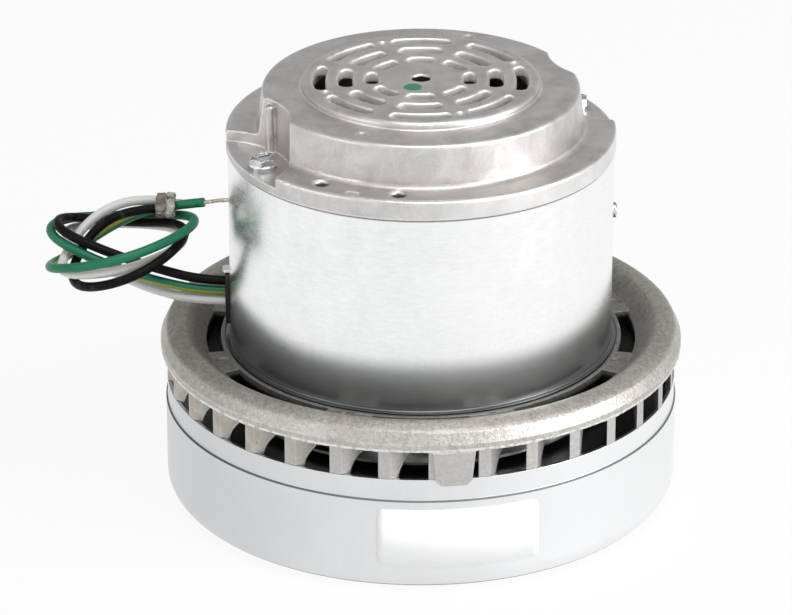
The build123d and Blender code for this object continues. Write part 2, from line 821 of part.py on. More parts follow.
def field_core():
    outline = Circle(field_radius)
    outline &= Rectangle(field_radius * 2, field_flat * 2)
    outline -= Circle(yoke_inner_radius)
    shoe = Circle(bore_radius + pole_shoe_wall) - Circle(bore_radius)
    wedge_reach = bore_radius * 2
    half = radians(pole_shoe_angle / 2)
    wedge = make_face(Polyline((0, 0), (wedge_reach * cos(half), -wedge_reach * sin(half)),
                               (wedge_reach, 0), (wedge_reach * cos(half), wedge_reach * sin(half)), close=True))
    neck = Pos(bore_radius + pole_shoe_wall / 2, 0) * Rectangle(
        yoke_inner_radius - bore_radius, pole_neck_width, align=(Align.MIN, Align.CENTER))
    for turn in (0, 180):
        outline += Rot(0, 0, turn) * (shoe & wedge)
        outline += Rot(0, 0, turn) * neck
    ear_turn = screw_azimuth - pole_azimuth
    for turn in (ear_turn, ear_turn + 180):
        arm = Rectangle(screw_ring - yoke_inner_radius - overrun, field_ear_radius * 2,
                        align=(Align.MAX, Align.CENTER))
        ear = Circle(field_ear_radius) + arm - Circle(screw_hole_radius)
        outline += Rot(0, 0, turn) * Pos(screw_ring, 0) * ear
    stack = Pos(0, 0, stack_level) * extrude(outline, stack_height)
    return spin(stack, pole_azimuth)


def field_coil(turn):
    """One coil slipped over a pole neck, a plain rounded frame."""
    inner_face = bore_radius + pole_shoe_wall + coil_gap
    low = stack_level - coil_overhang
    high = stack_top + coil_overhang
    width = pole_neck_width + coil_wall * 2 + coil_gap * 2
    frame = block(inner_face, inner_face + coil_depth, width, low, high)
    frame = fillet(frame.edges().filter_by(Axis.X), coil_round)
    hole = block(inner_face - overrun, inner_face + coil_depth + overrun, pole_neck_width + coil_gap * 2,
                 stack_level - coil_gap, stack_top + coil_gap)
    return spin(frame - hole, pole_azimuth + turn)


def armature_core():
    outline = Circle(armature_radius) - Circle(core_shaft_radius)
    deep = armature_radius - armature_lip - armature_slot_depth
    well = Pos(deep, 0) * Rectangle(armature_slot_depth, armature_slot_width, align=(Align.MIN, Align.CENTER))
    mouth = Pos(deep, 0) * Rectangle(armature_slot_depth + armature_lip + overrun, armature_mouth_width,
                                     align=(Align.MIN, Align.CENTER))
    for i in range(armature_slots):
        outline -= Rot(0, 0, 360 / armature_slots * i) * (well + mouth)
    return Pos(0, 0, stack_level) * extrude(outline, stack_height)


def armature_winding():
    """The copper: a bar of turns in each slot and a domed bundle of end turns over each face of the core."""
    deep = armature_radius - armature_lip - armature_slot_depth
    bar = block(deep + coil_gap, deep + armature_slot_depth - coil_gap, armature_slot_width - coil_gap * 2,
                stack_level - coil_gap * 2, stack_top + coil_gap * 2)
    bars = [spin(bar, 360 / armature_slots * i) for i in range(armature_slots)]
    lower = end_turns(stack_level - coil_gap, stack_level - winding_overhang)
    upper = end_turns(stack_top + coil_gap, stack_top + winding_overhang)
    return lower + upper + bars


def end_turns(near, far):
    return turned(
        [
            (winding_inner_radius, near, 0),
            (winding_outer_radius, near, 0),
            (winding_outer_radius, far, winding_round),
            (winding_inner_radius, far, winding_round),
        ]
    )


def commutator():
    """Copper bars with a riser each, standing round an insulating hub."""
    inner = commutator_radius - commutator_wall
    pitch = 360 / commutator_bars
    share = degrees(commutator_bar_gap / commutator_radius)
    bar = sector(inner, commutator_radius, share / 2 - pitch / 2, pitch - share,
                 commutator_level, commutator_level + commutator_height)
    riser = sector(inner, commutator_radius + commutator_riser, share / 2 - pitch / 2, pitch - share,
                   commutator_level, commutator_level + commutator_riser_height)
    whole = bar + riser
    return Compound([spin(whole, pitch * i).solid() for i in range(commutator_bars)])


def commutator_hub():
    return ring(core_shaft_radius, commutator_radius - commutator_wall, commutator_level - running_gap,
                commutator_level + commutator_height + running_gap)


def armature_sleeve():
    """The insulating sleeve on the shaft between the core, the fan and the bearings."""
    return ring(core_shaft_radius, sleeve_radius, cooling_level + cooling_blade_height + cooling_rise, stack_level)


def shaft():
    """A stepped shaft, thinner in the upper bearing and through the working fans."""
    seat = lower_bearing_level - running_gap
    return turned(
        [
            (0, lower_fan_back - fan_plate_wall - fan_washer_wall - nut_height - shaft_tip, 0),
            (fan_shaft_radius, lower_fan_back - fan_plate_wall - fan_washer_wall - nut_height - shaft_tip, 0),
            (fan_shaft_radius, seat, 0),
            (lower_bearing_bore, seat, 0),
            (lower_bearing_bore, lower_bearing_top, 0),
            (core_shaft_radius, lower_bearing_top, 0),
            (core_shaft_radius, upper_bearing_level, 0),
            (upper_bearing_bore, upper_bearing_level, 0),
            (upper_bearing_bore, shaft_top, 0),
            (0, shaft_top, 0),
        ]
    )


def bearing_race(bore, outer, width, level, ball, pitch):
    """A ring with half of the ball groove turned into it."""
    race = ring(bore, outer, level, level + width)
    groove = Pos(0, 0, level + width / 2) * Torus(pitch, ball + ball_gap)
    return race - groove


def bearing(bore, outer, width, level, ball, count):
    """The four kinds of piece in a deep-groove bearing, from the inside out."""
    pitch = (bore + outer) / 2
    wall = (outer - bore) * race_wall_share
    inner = bearing_race(bore, bore + wall, width, level, ball, pitch)
    outside = bearing_race(outer - wall, outer, width, level, ball, pitch)
    middle = Pos(0, 0, level + width / 2)
    balls = [spin(middle * Pos(pitch, 0, 0) * Sphere(ball), 360 / count * i) for i in range(count)]
    cage_half = ball + cage_side
    cage = ring(pitch - cage_wall / 2, pitch + cage_wall / 2, level + width / 2 - cage_half,
                level + width / 2 + cage_half)
    for i in range(count):
        pocket = middle * Pos(pitch, 0, 0) * Rot(0, 90, 0) * Cylinder(ball + ball_gap, cage_wall * 2)
        cage -= spin(pocket, 360 / count * i)
    return inner, outside, Compound([each.solid() for each in balls]), cage


def wave_washer():
    """A thin spring ring whose face rises and falls round its edge."""
    outer = upper_bearing_radius - running_gap
    inner = upper_bearing_radius - (upper_bearing_radius - upper_bearing_bore) * race_wall_share
    low = upper_bearing_top
    body = ring(inner, outer, low, low + wave_washer_wall + wave_rise)
    pitch = 360 / wave_count
    relief = sector(inner - overrun, outer + overrun, 0, pitch / 2, low + wave_washer_wall,
                    low + wave_washer_wall + wave_rise + overrun)
    under = sector(inner - overrun, outer + overrun, 0, pitch / 2, low - overrun, low + wave_rise)
    for i in range(wave_count):
        body -= spin(relief, pitch * i)
        body -= spin(under, pitch * (i + 1 / 2))
    return body


def air_seal():
    return ring(spacer_radius + running_gap, seal_radius - slide_gap, deck_level, seal_floor)


def upper_spacer():
    """The tube that holds the upper fan against the lower bearing."""
    return ring(fan_shaft_radius, spacer_radius, upper_fan_back + fan_washer_wall,
                lower_bearing_level - running_gap)


def lower_spacer():
    """The tube that holds the two working fans apart."""
    return ring(fan_shaft_radius, spacer_radius, lower_fan_back + fan_washer_wall,
                upper_fan_back - fan_plate_wall - fan_washer_wall)


def fan_washers():
    faces = []
    for back in (lower_fan_back, upper_fan_back):
        faces.append(ring(fan_shaft_radius, fan_hub_radius, back, back + fan_washer_wall))
        faces.append(ring(fan_shaft_radius, fan_hub_radius, back - fan_plate_wall - fan_washer_wall,
                          back - fan_plate_wall))
    return Compound([face.solid() for face in faces])


def lock_nut():
    top = lower_fan_back - fan_plate_wall - fan_washer_wall
    outline = RegularPolygon(nut_width / 2, 6, major_radius=False) - Circle(fan_shaft_radius)
    return Pos(0, 0, top - nut_height) * extrude(outline, nut_height)


def cooling_fan():
    plate = ring(core_shaft_radius, cooling_radius, cooling_level, cooling_level + cooling_plate_wall)
    hub = ring(core_shaft_radius, cooling_hub_radius, cooling_level,
               cooling_level + cooling_blade_height + cooling_rise)
    blade = block(cooling_blade_inner, cooling_radius - running_gap, cooling_blade_wall,
                  cooling_level + cooling_plate_wall / 2, cooling_level + cooling_blade_height)
    blades = [spin(blade, 360 / cooling_blade_count * i) for i in range(cooling_blade_count)]
    return plate + hub + blades


def carbon_brush(azimuth):
    """A block with its inner face hollowed to the commutator."""
    face = commutator_radius + slide_gap
    body = block(face - brush_width / 2, face + brush_length, brush_width, brush_level - brush_height / 2,
                 brush_level + brush_height / 2)
    body -= ring(0, face, brush_level - brush_height, brush_level + brush_height)
    return spin(body, azimuth)


def brush_tube(azimuth):
    """The brass box that guides one brush, closed by its cap."""
    start = commutator_radius + brush_tube_start
    end = start + brush_tube_length
    gap = slide_gap
    body = block(start, end, brush_width + (gap + brush_tube_wall) * 2,
                 brush_level - brush_height / 2 - gap - brush_tube_wall,
                 brush_level + brush_height / 2 + gap + brush_tube_wall)
    hole = block(start - overrun, end - brush_cap_wall, brush_width + gap * 2,
                 brush_level - brush_height / 2 - gap, brush_level + brush_height / 2 + gap)
    return spin(body - hole, azimuth)


def brush_spring(azimuth):
    """A coil spring between the brush and the cap, one unbroken wire."""
    start = commutator_radius + slide_gap + brush_length + spring_wire + slide_gap
    end = commutator_radius + brush_tube_start + brush_tube_length - brush_cap_wall - spring_wire - slide_gap
    pitch = (end - start) / spring_turns
    path = Helix(pitch, end - start, spring_radius)
    section = Plane(path @ 0, z_dir=path % 0) * Circle(spring_wire)
    coil = sweep(section, path=path)
    print("spring gap between turns", round(pitch - spring_wire * 2, 2))
    return spin(Pos(start, 0, brush_level) * Rot(0, 90, 0) * coil, azimuth)


def brush_holder(azimuth):
    """The moulded block that carries one brush tube, with an ear on each side for its screws."""
    start = commutator_radius + holder_start
    half = brush_height / 2 + slide_gap + brush_tube_wall
    width = brush_width + (slide_gap + brush_tube_wall) * 2
    body = block(start, start + holder_length, width + holder_wall * 2, brush_level - half - holder_wall,
                 brush_level + half + holder_wall)
    body = fillet(body.edges().filter_by(Axis.X), holder_wall / 2)
    reach = holder_screw_ring + holder_ear_length / 2
    bar_top = can_top - spigot_height - running_gap
    ears = sector(start + holder_length - holder_ear_length, reach, -holder_screw_angle * ear_angle_share,
                  holder_screw_angle * ear_angle_share * 2, bar_top - holder_ear_wall, bar_top)
    body += ears - [
        spin(post(holder_screw_radius, holder_screw_ring, bar_top - holder_ear_wall, bar_top), side)
        for side in (-holder_screw_angle, holder_screw_angle)
    ]
    return spin(body - block(start - overrun, reach + overrun, width, brush_level - half,
                             brush_level + half), azimuth)


# Routes of the three leads: out of the slot, once round a loose loop and half way round again
lead_routes = {
    "black": [
        (-63, 0, 76.9), (-77, 0, 76.9), (-93, -0.5, 81.5), (-107.5, 0, 86.5), (-120, 2.5, 90.75),
        (-128.75, 7.5, 93.5), (-130.5, 16.5, 93.75), (-124.5, 23.5, 91.5), (-113.75, 25.5, 89.25),
        (-102.25, 24.25, 89), (-92.25, 20.25, 90.75), (-85.5, 13, 92.75), (-83.5, 4, 93.25),
        (-86.75, -5.25, 91.75), (-93.75, -13, 88.75), (-103, -17.25, 85.25), (-112.75, -17.25, 82.25),
        (-120.5, -12.5, 80), (-124, -4.25, 79.5), (-123.5, 4, 82.25), (-119.5, 10, 88.25),
        (-113, 13.5, 94), (-104.5, 15.25, 97.25), (-95, 16, 98),
    ],
    "green": [
        (-63, 0, 73), (-77, 0, 73), (-93.5, -0.5, 76.75), (-109, -0.25, 82.25), (-122.25, 2, 87.25),
        (-131.25, 8.25, 90), (-133.25, 17.5, 90.5), (-127.5, 26, 90), (-116.75, 29.5, 89.25),
        (-104, 29.25, 89.75), (-91.75, 25.5, 91.5), (-83.25, 18.5, 94.25), (-80, 9.25, 96.25),
        (-83, -1, 96.75), (-91, -10.25, 95.75), (-102, -16.25, 93.5), (-114.25, -17.5, 90.75),
        (-125, -13.5, 87.5), (-131.75, -5, 84), (-132.25, 5.5, 80.75), (-127, 15, 79.75),
        (-118.75, 19.75, 84.25), (-108.75, 21, 90.5), (-98.25, 20.75, 95.25), (-87.75, 19.25, 98),
        (-77.5, 17, 100),
    ],
    "white": [
        (-63, 0, 69.1), (-77, 0, 69.1), (-93.5, 1.75, 71.75), (-108, 5.25, 76.75), (-120, 9.75, 82.25),
        (-127.5, 16.5, 86), (-127.5, 25, 86), (-120.5, 31, 85), (-110.25, 33.25, 84.75),
        (-99.5, 30.75, 85.5), (-90.5, 25, 87), (-85.25, 16.5, 88.25), (-84.75, 7, 89),
        (-88.75, -2.25, 89.25), (-96.25, -9.5, 88.5), (-105.75, -13.75, 87), (-115.5, -14, 85.5),
        (-123.75, -10, 83.75), (-128, -2.75, 82.25), (-127.5, 5.25, 83.25), (-123.5, 12.25, 88.75),
        (-116.5, 18, 94.5), (-107.75, 21.75, 97.75), (-98.75, 24.25, 98), (-89.5, 26, 96.5),
    ],
}


def lead_path(route):
    """Straight runs joined by arcs, each as wide as its two runs allow."""
    radii = []
    for before, here, after in zip(route, route[1:], route[2:]):
        run_in = Vector(here) - Vector(before)
        run_out = Vector(after) - Vector(here)
        half_turn = radians(run_in.get_angle(run_out) / 2)
        radii.append(lead_bend_share * min(run_in.length, run_out.length) / tan(half_turn))
    return FilletPolyline(*route, radius=radii), radii


def lead(name, route):
    path, radii = lead_path(route)
    tube = sweep(Plane(path @ 0, z_dir=path % 0) * Circle(lead_radius), path=path)
    expected = pi * lead_radius**2 * path.length
    print(name, "lead: length", round(path.length, 1), "smallest bend", round(min(radii), 1),
          "volume share", round(tube.volume / expected, 4), "least gap to itself", round(own_gap(path), 2))
    return tube


def own_gap(path):
    """The least clear distance between two stretches of one lead that lie well apart along it."""
    points = [path.position_at(i / gap_samples) for i in range(gap_samples + 1)]
    step = path.length / gap_samples
    apart = int(lead_radius * own_gap_reach_share / step) + 1
    nearest = min(
        (points[i] - points[j]).length
        for i in range(len(points))
        for j in range(i + apart, len(points))
    )
    return nearest - lead_radius * 2


def bare_end(route, length):
    """The stripped strands at the end of a lead."""
    finish = Vector(route[-1])
    along = (finish - Vector(route[-2])).normalized()
    return Plane(finish, z_dir=along) * Cylinder(
        strand_radius, length, align=(Align.CENTER, Align.CENTER, Align.MIN))


def twist_tie():
    """A flat band drawn round the strands where they pass the tie's plane."""
    across = Plane(origin=(tie_place, 0, 0), x_dir=(0, 1, 0), z_dir=(1, 0, 0))
    bundle = make_face(Polyline(*tie_corners, close=True))
    outer = offset(bundle, tie_slack + tie_wall)
    return extrude(across * (outer - offset(bundle, tie_slack)), tie_width / 2, both=True)


def holder_screws():
    """The screws that clamp the two brush holders up under the flange."""
    top = can_top - spigot_height - running_gap
    head_top = top - holder_ear_wall
    screw = ring(0, holder_screw_head_radius, head_top - holder_screw_head, head_top)
    screw += ring(0, holder_screw_radius - slide_gap, head_top - slide_gap, head_top + holder_screw_length)
    return Compound([
        spin(Pos(holder_screw_ring, 0, 0) * screw, azimuth + side).solid()
        for azimuth in brush_azimuths
        for side in (-holder_screw_angle, holder_screw_angle)
    ])


parts = {
    "fan_shell": fan_shell(),
    "return_vane_plate": return_vane_plate(),
    "separator_plate": separator_plate(),
    "fan_bracket": fan_bracket(),
    "motor_can": motor_can(),
    "lead_grommet": lead_grommet(),
    "can_screw": can_screw(),
    "top_bracket": top_bracket(),
    "through_screws": through_screws(),
    "field_core": field_core(),
    "field_coil_left": field_coil(0),
    "field_coil_right": field_coil(180),
    "armature_core": armature_core(),
    "armature_winding": armature_winding(),
    "commutator_bars": commutator(),
    "commutator_hub": commutator_hub(),
    "armature_sleeve": armature_sleeve(),
    "shaft": shaft(),
    "wave_washer": wave_washer(),
    "air_seal": air_seal(),
    "upper_spacer": upper_spacer(),
    "lower_spacer": lower_spacer(),
    "fan_washers": fan_washers(),
    "lock_nut": lock_nut(),
    "cooling_fan": cooling_fan(),
}

for name, fan in (("lower_fan", lower_fan), ("upper_fan", upper_fan)):
    parts[name + "_back_plate"] = fan_back_plate(fan)
    parts[name + "_front_plate"] = fan_front_plate(fan)
    parts[name + "_vanes"] = fan_vanes(fan)

bearings = {
    "upper": bearing(upper_bearing_bore, upper_bearing_radius, upper_bearing_width, upper_bearing_level,
                     upper_ball_radius, upper_ball_count),
    "lower": bearing(lower_bearing_bore, lower_bearing_radius, lower_bearing_width, lower_bearing_level,
                     lower_ball_radius, lower_ball_count),
}
for place, pieces in bearings.items():
    for kind, piece in zip(("inner_race", "outer_race", "balls", "cage"), pieces):
        parts[place + "_bearing_" + kind] = piece

for place, azimuth in zip(("rear", "front"), brush_azimuths):
    parts["carbon_brush_" + place] = carbon_brush(azimuth)
    parts["brush_tube_" + place] = brush_tube(azimuth)
    parts["brush_spring_" + place] = brush_spring(azimuth)
    parts["brush_holder_" + place] = brush_holder(azimuth)

for colour, route in lead_routes.items():
    parts["lead_" + colour] = lead(colour, route)
    parts["lead_" + colour + "_bare_end"] = bare_end(route, strand_lengths[colour])
parts["twist_tie"] = twist_tie()
parts["holder_screws"] = holder_screws()

os.makedirs("parts", exist_ok=True)
for name, part in parts.items():
    export_step(part, "parts/" + name + ".step")
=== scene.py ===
import math

import bpy
import numpy as np
from mathutils import Matrix, Quaternion, Vector, noise


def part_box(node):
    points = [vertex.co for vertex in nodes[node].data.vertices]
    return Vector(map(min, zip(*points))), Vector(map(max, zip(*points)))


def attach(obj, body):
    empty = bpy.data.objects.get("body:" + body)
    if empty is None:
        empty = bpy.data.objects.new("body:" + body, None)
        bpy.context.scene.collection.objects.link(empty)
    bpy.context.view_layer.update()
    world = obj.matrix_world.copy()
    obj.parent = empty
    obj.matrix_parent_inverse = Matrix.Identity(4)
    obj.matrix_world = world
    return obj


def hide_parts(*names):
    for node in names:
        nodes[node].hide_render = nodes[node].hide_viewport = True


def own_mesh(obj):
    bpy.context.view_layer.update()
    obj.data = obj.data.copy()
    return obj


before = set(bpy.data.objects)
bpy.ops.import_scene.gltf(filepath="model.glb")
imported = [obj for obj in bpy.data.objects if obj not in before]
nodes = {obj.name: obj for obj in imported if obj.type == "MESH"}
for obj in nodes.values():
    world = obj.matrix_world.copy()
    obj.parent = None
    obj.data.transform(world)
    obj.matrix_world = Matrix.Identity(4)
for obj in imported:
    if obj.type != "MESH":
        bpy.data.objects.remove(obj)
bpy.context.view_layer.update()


# Camera: where the photograph was taken from; angles are in degrees

cameraView = {
    "elevation": 24.13,
    "distance": 1.6884,
    "target": (0.0, 0.0, 0.08),
    "lens": 215.58,
    "clipEnd": 20.0,
    "turnLeft": 0.2996,
    "tiltDown": 0.418,
    "roll": 0.05,
}


def setCamera(view):
    up = math.radians(view["elevation"])
    target = Vector(view["target"])
    eye = target + Vector((0, -math.cos(up), math.sin(up))) * view["distance"]
    data = bpy.data.cameras.new("camera")
    data.lens = view["lens"]
    data.clip_end = view["clipEnd"]
    camera = bpy.data.objects.new("camera", data)
    bpy.context.scene.collection.objects.link(camera)
    aim = (target - eye).to_track_quat("-Z", "Y")
    for axis, angle in (((0, 1, 0), view["turnLeft"]), ((1, 0, 0), -view["tiltDown"]), ((0, 0, 1), view["roll"])):
        aim = aim @ Quaternion(axis, math.radians(angle))
    camera.rotation_mode = "QUATERNION"
    camera.rotation_quaternion = aim
    camera.location = eye
    bpy.context.scene.camera = camera
    print("camera:", view["elevation"], "degrees up,", view["lens"], "mm lens")


setCamera(cameraView)


# Nodes: a socket that can be reckoned with, a bench that lays nodes out, and its kinds

class Signal:
    def __init__(self, bench, socket):
        self.bench = bench
        self.socket = socket

    def maths(self, operation, first, second=0.0):
        return self.bench.add("ShaderNodeMath", {"operation": operation}, {0: first, 1: second})

    def __add__(self, other):
        return self.maths("ADD", self, other)

    def __sub__(self, other):
        return self.maths("SUBTRACT", self, other)

    def __rsub__(self, other):
        return self.maths("SUBTRACT", other, self)

    def __mul__(self, other):
        return self.maths("MULTIPLY", self, other)

    def __truediv__(self, other):
        return self.maths("DIVIDE", self, other)

    def __pow__(self, other):
        return self.maths("POWER", self, other)

    def __neg__(self):
        return self.maths("MULTIPLY", self, -1.0)

    __radd__ = __add__
    __rmul__ = __mul__

    def absolute(self):
        return self.maths("ABSOLUTE", self)

    def least(self, other):
        return self.maths("MINIMUM", self, other)

    def most(self, other):
        return self.maths("MAXIMUM", self, other)

    def wave(self, kind):
        return self.maths(kind, self)

    def step(self, low, high):  # 0 at low, 1 at high, smooth between
        return self.bench.add(
            "ShaderNodeMapRange", {"interpolation_type": "SMOOTHSTEP"}, {0: self, 1: low, 2: high, 3: 0.0, 4: 1.0}
        )


class Bench:
    def add(self, kind, settings, sockets, out=0):
        node = self.tree.nodes.new(kind)
        for name, value in settings.items():
            setattr(node, name, value)
        for name, value in sockets.items():
            if isinstance(value, Signal):
                self.tree.links.new(value.socket, node.inputs[name])
            else:
                node.inputs[name].default_value = value
        return Signal(self, node.outputs[out]) if node.outputs else node

    def vector(self, operation, first, second=(0.0, 0.0, 0.0), out=0, **more):
        return self.add("ShaderNodeVectorMath", {"operation": operation}, {0: first, 1: second, **more}, out)

    def axis(self, letter, vector):
        return self.add("ShaderNodeSeparateXYZ", {}, {0: vector}, "XYZ".index(letter))


class Board(Bench):  # one material
    cornerTurn = (0.02, 0.25)  # how far a corner turns where its wear and painted highlight begin and where they are full
    cornerSamples = 6

    def __init__(self, name, **fixed):
        self.material = bpy.data.materials.new(name)
        self.material.use_nodes = True
        self.tree = self.material.node_tree
        self.tree.nodes.clear()
        self.surface = self.tree.nodes.new("ShaderNodeBsdfPrincipled")
        output = self.tree.nodes.new("ShaderNodeOutputMaterial")
        self.tree.links.new(self.surface.outputs[0], output.inputs[0])
        for socket, value in fixed.items():
            self.surface.inputs[socket.replace("_", " ")].default_value = value
        self.place = self.add("ShaderNodeTexCoord", {}, {}, "Object")
        self.x, self.y, self.z = (self.axis(letter, self.place) for letter in "XYZ")
        self.reach = (self.x * self.x + self.y * self.y) ** 0.5  # the distance from the shaft's line

    def feed(self, **sockets):
        for name, signal in sockets.items():
            self.tree.links.new(signal.socket, self.surface.inputs[name.replace("_", " ")])
        return self.material

    def stretched(self, scale):
        return self.add("ShaderNodeMapping", {}, {"Vector": self.place, "Scale": scale})

    def noise(self, size, detail=3.0, rough=0.5, where=None, warp=0.0):
        sockets = {"Vector": where or self.place, "Scale": 1 / size, "Detail": detail, "Roughness": rough,
                   "Distortion": warp}
        return self.add("ShaderNodeTexNoise", {}, sockets)

    def cells(self, size):
        return self.add("ShaderNodeTexVoronoi", {}, {"Vector": self.place, "Scale": 1 / size})

    def blend(self, mask, low, high):  # inputs 6 and 7 and output 2 are the colours
        colours = [value if isinstance(value, Signal) else (*value, 1.0) for value in (low, high)]
        return self.add("ShaderNodeMix", {"data_type": "RGBA"}, {0: mask, 6: colours[0], 7: colours[1]}, 2)

    def region(self, edges, mask=None):  # 1 inside all its edges: a coordinate, where it is 0 and where it is 1
        for coordinate, low, high in edges:
            edge = getattr(self, coordinate).step(low, high)
            mask = mask * edge if mask else edge
        return mask

    def regions(self, areas):
        return {name: self.region(edges) for name, edges in areas.items()}

    def coated(self, colour, coats, masks):  # each coat has a share and a tint, or two tints that the tone blends
        for name, (share, *tints) in coats.items():
            tint = self.blend(masks["tone"], *tints) if len(tints) > 1 else tints[0]
            colour = self.blend(masks[name] * share, colour, tint)
        return colour

    def softEdge(self, width):
        return self.add("ShaderNodeBevel", {"samples": self.cornerSamples}, {"Radius": width})

    def edges(self, width):  # 1 where a corner turns within this width
        faced = self.add("ShaderNodeNewGeometry", {}, {}, "Normal")
        return self.vector("DISTANCE", self.softEdge(width), faced, "Value").step(*self.cornerTurn)

    def bump(self, height, depth, width=0.0002):
        return self.add("ShaderNodeBump", {}, {"Height": height, "Distance": depth, "Normal": self.softEdge(width)})


class Grower(Bench):  # one tree of geometry nodes, with named inputs for its sizes
    kinds = {int: "NodeSocketInt", float: "NodeSocketFloat"}

    def __init__(self, name, **sizes):
        self.tree = bpy.data.node_groups.new(name, "GeometryNodeTree")
        face = self.tree.interface
        face.new_socket("Geometry", in_out="INPUT", socket_type="NodeSocketGeometry")
        face.new_socket("Geometry", in_out="OUTPUT", socket_type="NodeSocketGeometry")
        self.ports = {}
        for label, value in sizes.items():
            port = face.new_socket(label, in_out="INPUT", socket_type=self.kinds[type(value)])
            self.ports[label] = (port.identifier, value)
        self.entry = self.tree.nodes.new("NodeGroupInput")
        self.exit = self.tree.nodes.new("NodeGroupOutput")

    def size(self, label):
        return Signal(self, self.entry.outputs[label])

    def source(self):
        return Signal(self, self.entry.outputs["Geometry"])

    def circle(self, sides, radius):
        return self.add("GeometryNodeCurvePrimitiveCircle", {"mode": "RADIUS"},
                        {0: self.size(sides), 4: self.size(radius)})

    def spiral(self, turns, radius, height):
        return self.add("GeometryNodeCurveSpiral", {},
                        {0: self.size("Steps"), 1: turns, 2: radius, 3: radius, 4: height})

    def build(self, name, geometry, finish, start=None):  # runs the tree once and keeps a plain mesh
        whole = self.add("GeometryNodeRealizeInstances", {}, {0: geometry})
        dressed = self.add("GeometryNodeSetMaterial", {}, {0: whole, 2: finishes[finish]})
        self.tree.links.new(dressed.socket, self.exit.inputs[0])
        seed = bpy.data.objects.new(name + "Seed", start or bpy.data.meshes.new(name + "Seed"))
        bpy.context.scene.collection.objects.link(seed)
        modifier = seed.modifiers.new("grow", "NODES")
        modifier.node_group = self.tree
        for identifier, value in self.ports.values():
            modifier[identifier] = value
        graph = bpy.context.evaluated_depsgraph_get()
        mesh = bpy.data.meshes.new_from_object(seed.evaluated_get(graph))
        mesh.name = name
        seed.modifiers.remove(modifier)
        bpy.data.objects.remove(seed)
        return mesh


# Finishes: spread says where a noise begins to count and where it is full, areas where a coat lies

def sandCastFinish():  # the fan bracket: grey-brown sand casting, with painted light on its outer ring face and the vanes' outer ends, painted shade in its depths and trough, a painted highlight along its flash, and edges lightened partly by wear and partly by a painted highlight
    look = {
        "grain": 0.0008, "speckle": 0.0016, "rag": 0.0022, "lump": 0.0045, "patch": 0.028, "pitGrains": 3.4,
        "edge": 0.0009, "relief": 0.00016, "rounding": 0.0005, "rough": 0.57,
        "dark": (0.305, 0.284, 0.262), "light": (0.495, 0.470, 0.440),
        "spread": {"tone": (0.36, 0.64), "pits": (0.22, 0.04), "brown": (0.52, 0.72), "stain": (0.42, 0.62),
                   "burr": (0.38, 0.52), "worn": (0.3, 0.55)},
        "areas": {
            # outer: painted light, a lighter coat on the ring's outer face
            "outer": [("reach", 0.0868, 0.0915), ("z", 0.0628, 0.0600), ("z", 0.0525, 0.0545)],
            # painted light on the vanes' outer ends, where light reaches them
            "tips": [("reach", 0.0855, 0.0900), ("z", 0.0553, 0.0545)],
            "left": [("x", -0.020, -0.060)],
            # painted shade: near black deep between the vanes
            "vaneDepth": [("z", 0.0560, 0.0545), ("reach", 0.0870, 0.0795), ("reach", 0.0640, 0.0680)],
            # painted shade: darker in the trough by the can
            "bowl": [("z", 0.0500, 0.0530), ("reach", 0.0845, 0.0800)],
            "rim": [("reach", 0.0790, 0.0840)],
        },
        # painted highlight: a near-white ragged line along the flash
        "burr": [("reach", 0.0918, 0.0924), ("z", 0.0556, 0.0549), ("z", 0.0532, 0.0538)],
        "coats": {
            "brown": (0.40, (0.36, 0.30, 0.25)),
            "pits": (0.35, (0.16, 0.15, 0.14)),
            # painted light on the ring's outer face
            "outer": (0.70, (0.48, 0.455, 0.425), (0.68, 0.66, 0.63)),
            # painted light on the vanes' outer ends
            "tips": (0.6, (0.62, 0.615, 0.60)),
            "stain": (0.45, (0.40, 0.31, 0.22)),
            # painted shade: darker in the trough by the can
            "bowl": (0.38, (0.10, 0.10, 0.095)),
            # painted shade: near black deep between the vanes
            "vaneDepth": (0.93, (0.010, 0.010, 0.010)),
            # painted highlight: a near-white ragged line along the flash
            "burr": (0.8, (0.93, 0.92, 0.89)),
            # edges: partly wear, partly a painted highlight
            "worn": (0.65, (0.80, 0.79, 0.77)),
        },
    }
    spread = look["spread"]
    board = Board("sandCastAluminium", Metallic=1.0)
    grain = board.noise(look["grain"], 4.0, 0.6)
    lump = board.noise(look["lump"], 4.0, 0.55)
    patch = board.noise(look["patch"], 5.0, 0.6, warp=0.6)
    pits = board.cells(look["grain"] * look["pitGrains"]).step(*spread["pits"])
    speckle = board.noise(look["speckle"], 2.0, 0.7).step(*spread["tone"])
    tone = (grain * 0.4 + lump * 0.25 + patch * 0.35).step(*spread["tone"]) * 0.6 + speckle * 0.4
    masks = board.regions(look["areas"])
    ragged = board.noise(look["rag"], 3.0, 0.7).step(*spread["burr"])
    # edges lightened, partly by wear and partly by a painted highlight
    worn = board.edges(look["edge"]) * lump.step(*spread["worn"]) * (1 - masks["vaneDepth"])
    worn = worn * (1 - masks["tips"] * 0.75) * (masks["rim"] * 0.8 + 0.2)  # the webs get less edge wear and painted highlight than the rim
    masks.update(tone=tone, pits=pits, worn=worn, brown=patch.step(*spread["brown"]),
                 stain=masks["tips"] * (lump.step(*spread["stain"]) * masks["left"]),
                 burr=board.region(look["burr"], ragged))
    rough = look["rough"] - worn * 0.12 - masks["outer"] * 0.08 + (grain - 0.5) * 0.2 + masks["bowl"] * 0.06
    height = grain * 0.5 + speckle * 0.28 + lump * 0.9 - pits * 0.4
    return board.feed(
        Base_Color=board.coated(board.blend(tone, look["dark"], look["light"]), look["coats"], masks),
        Roughness=rough,
        Normal=board.bump(height, look["relief"], look["rounding"]),
    )


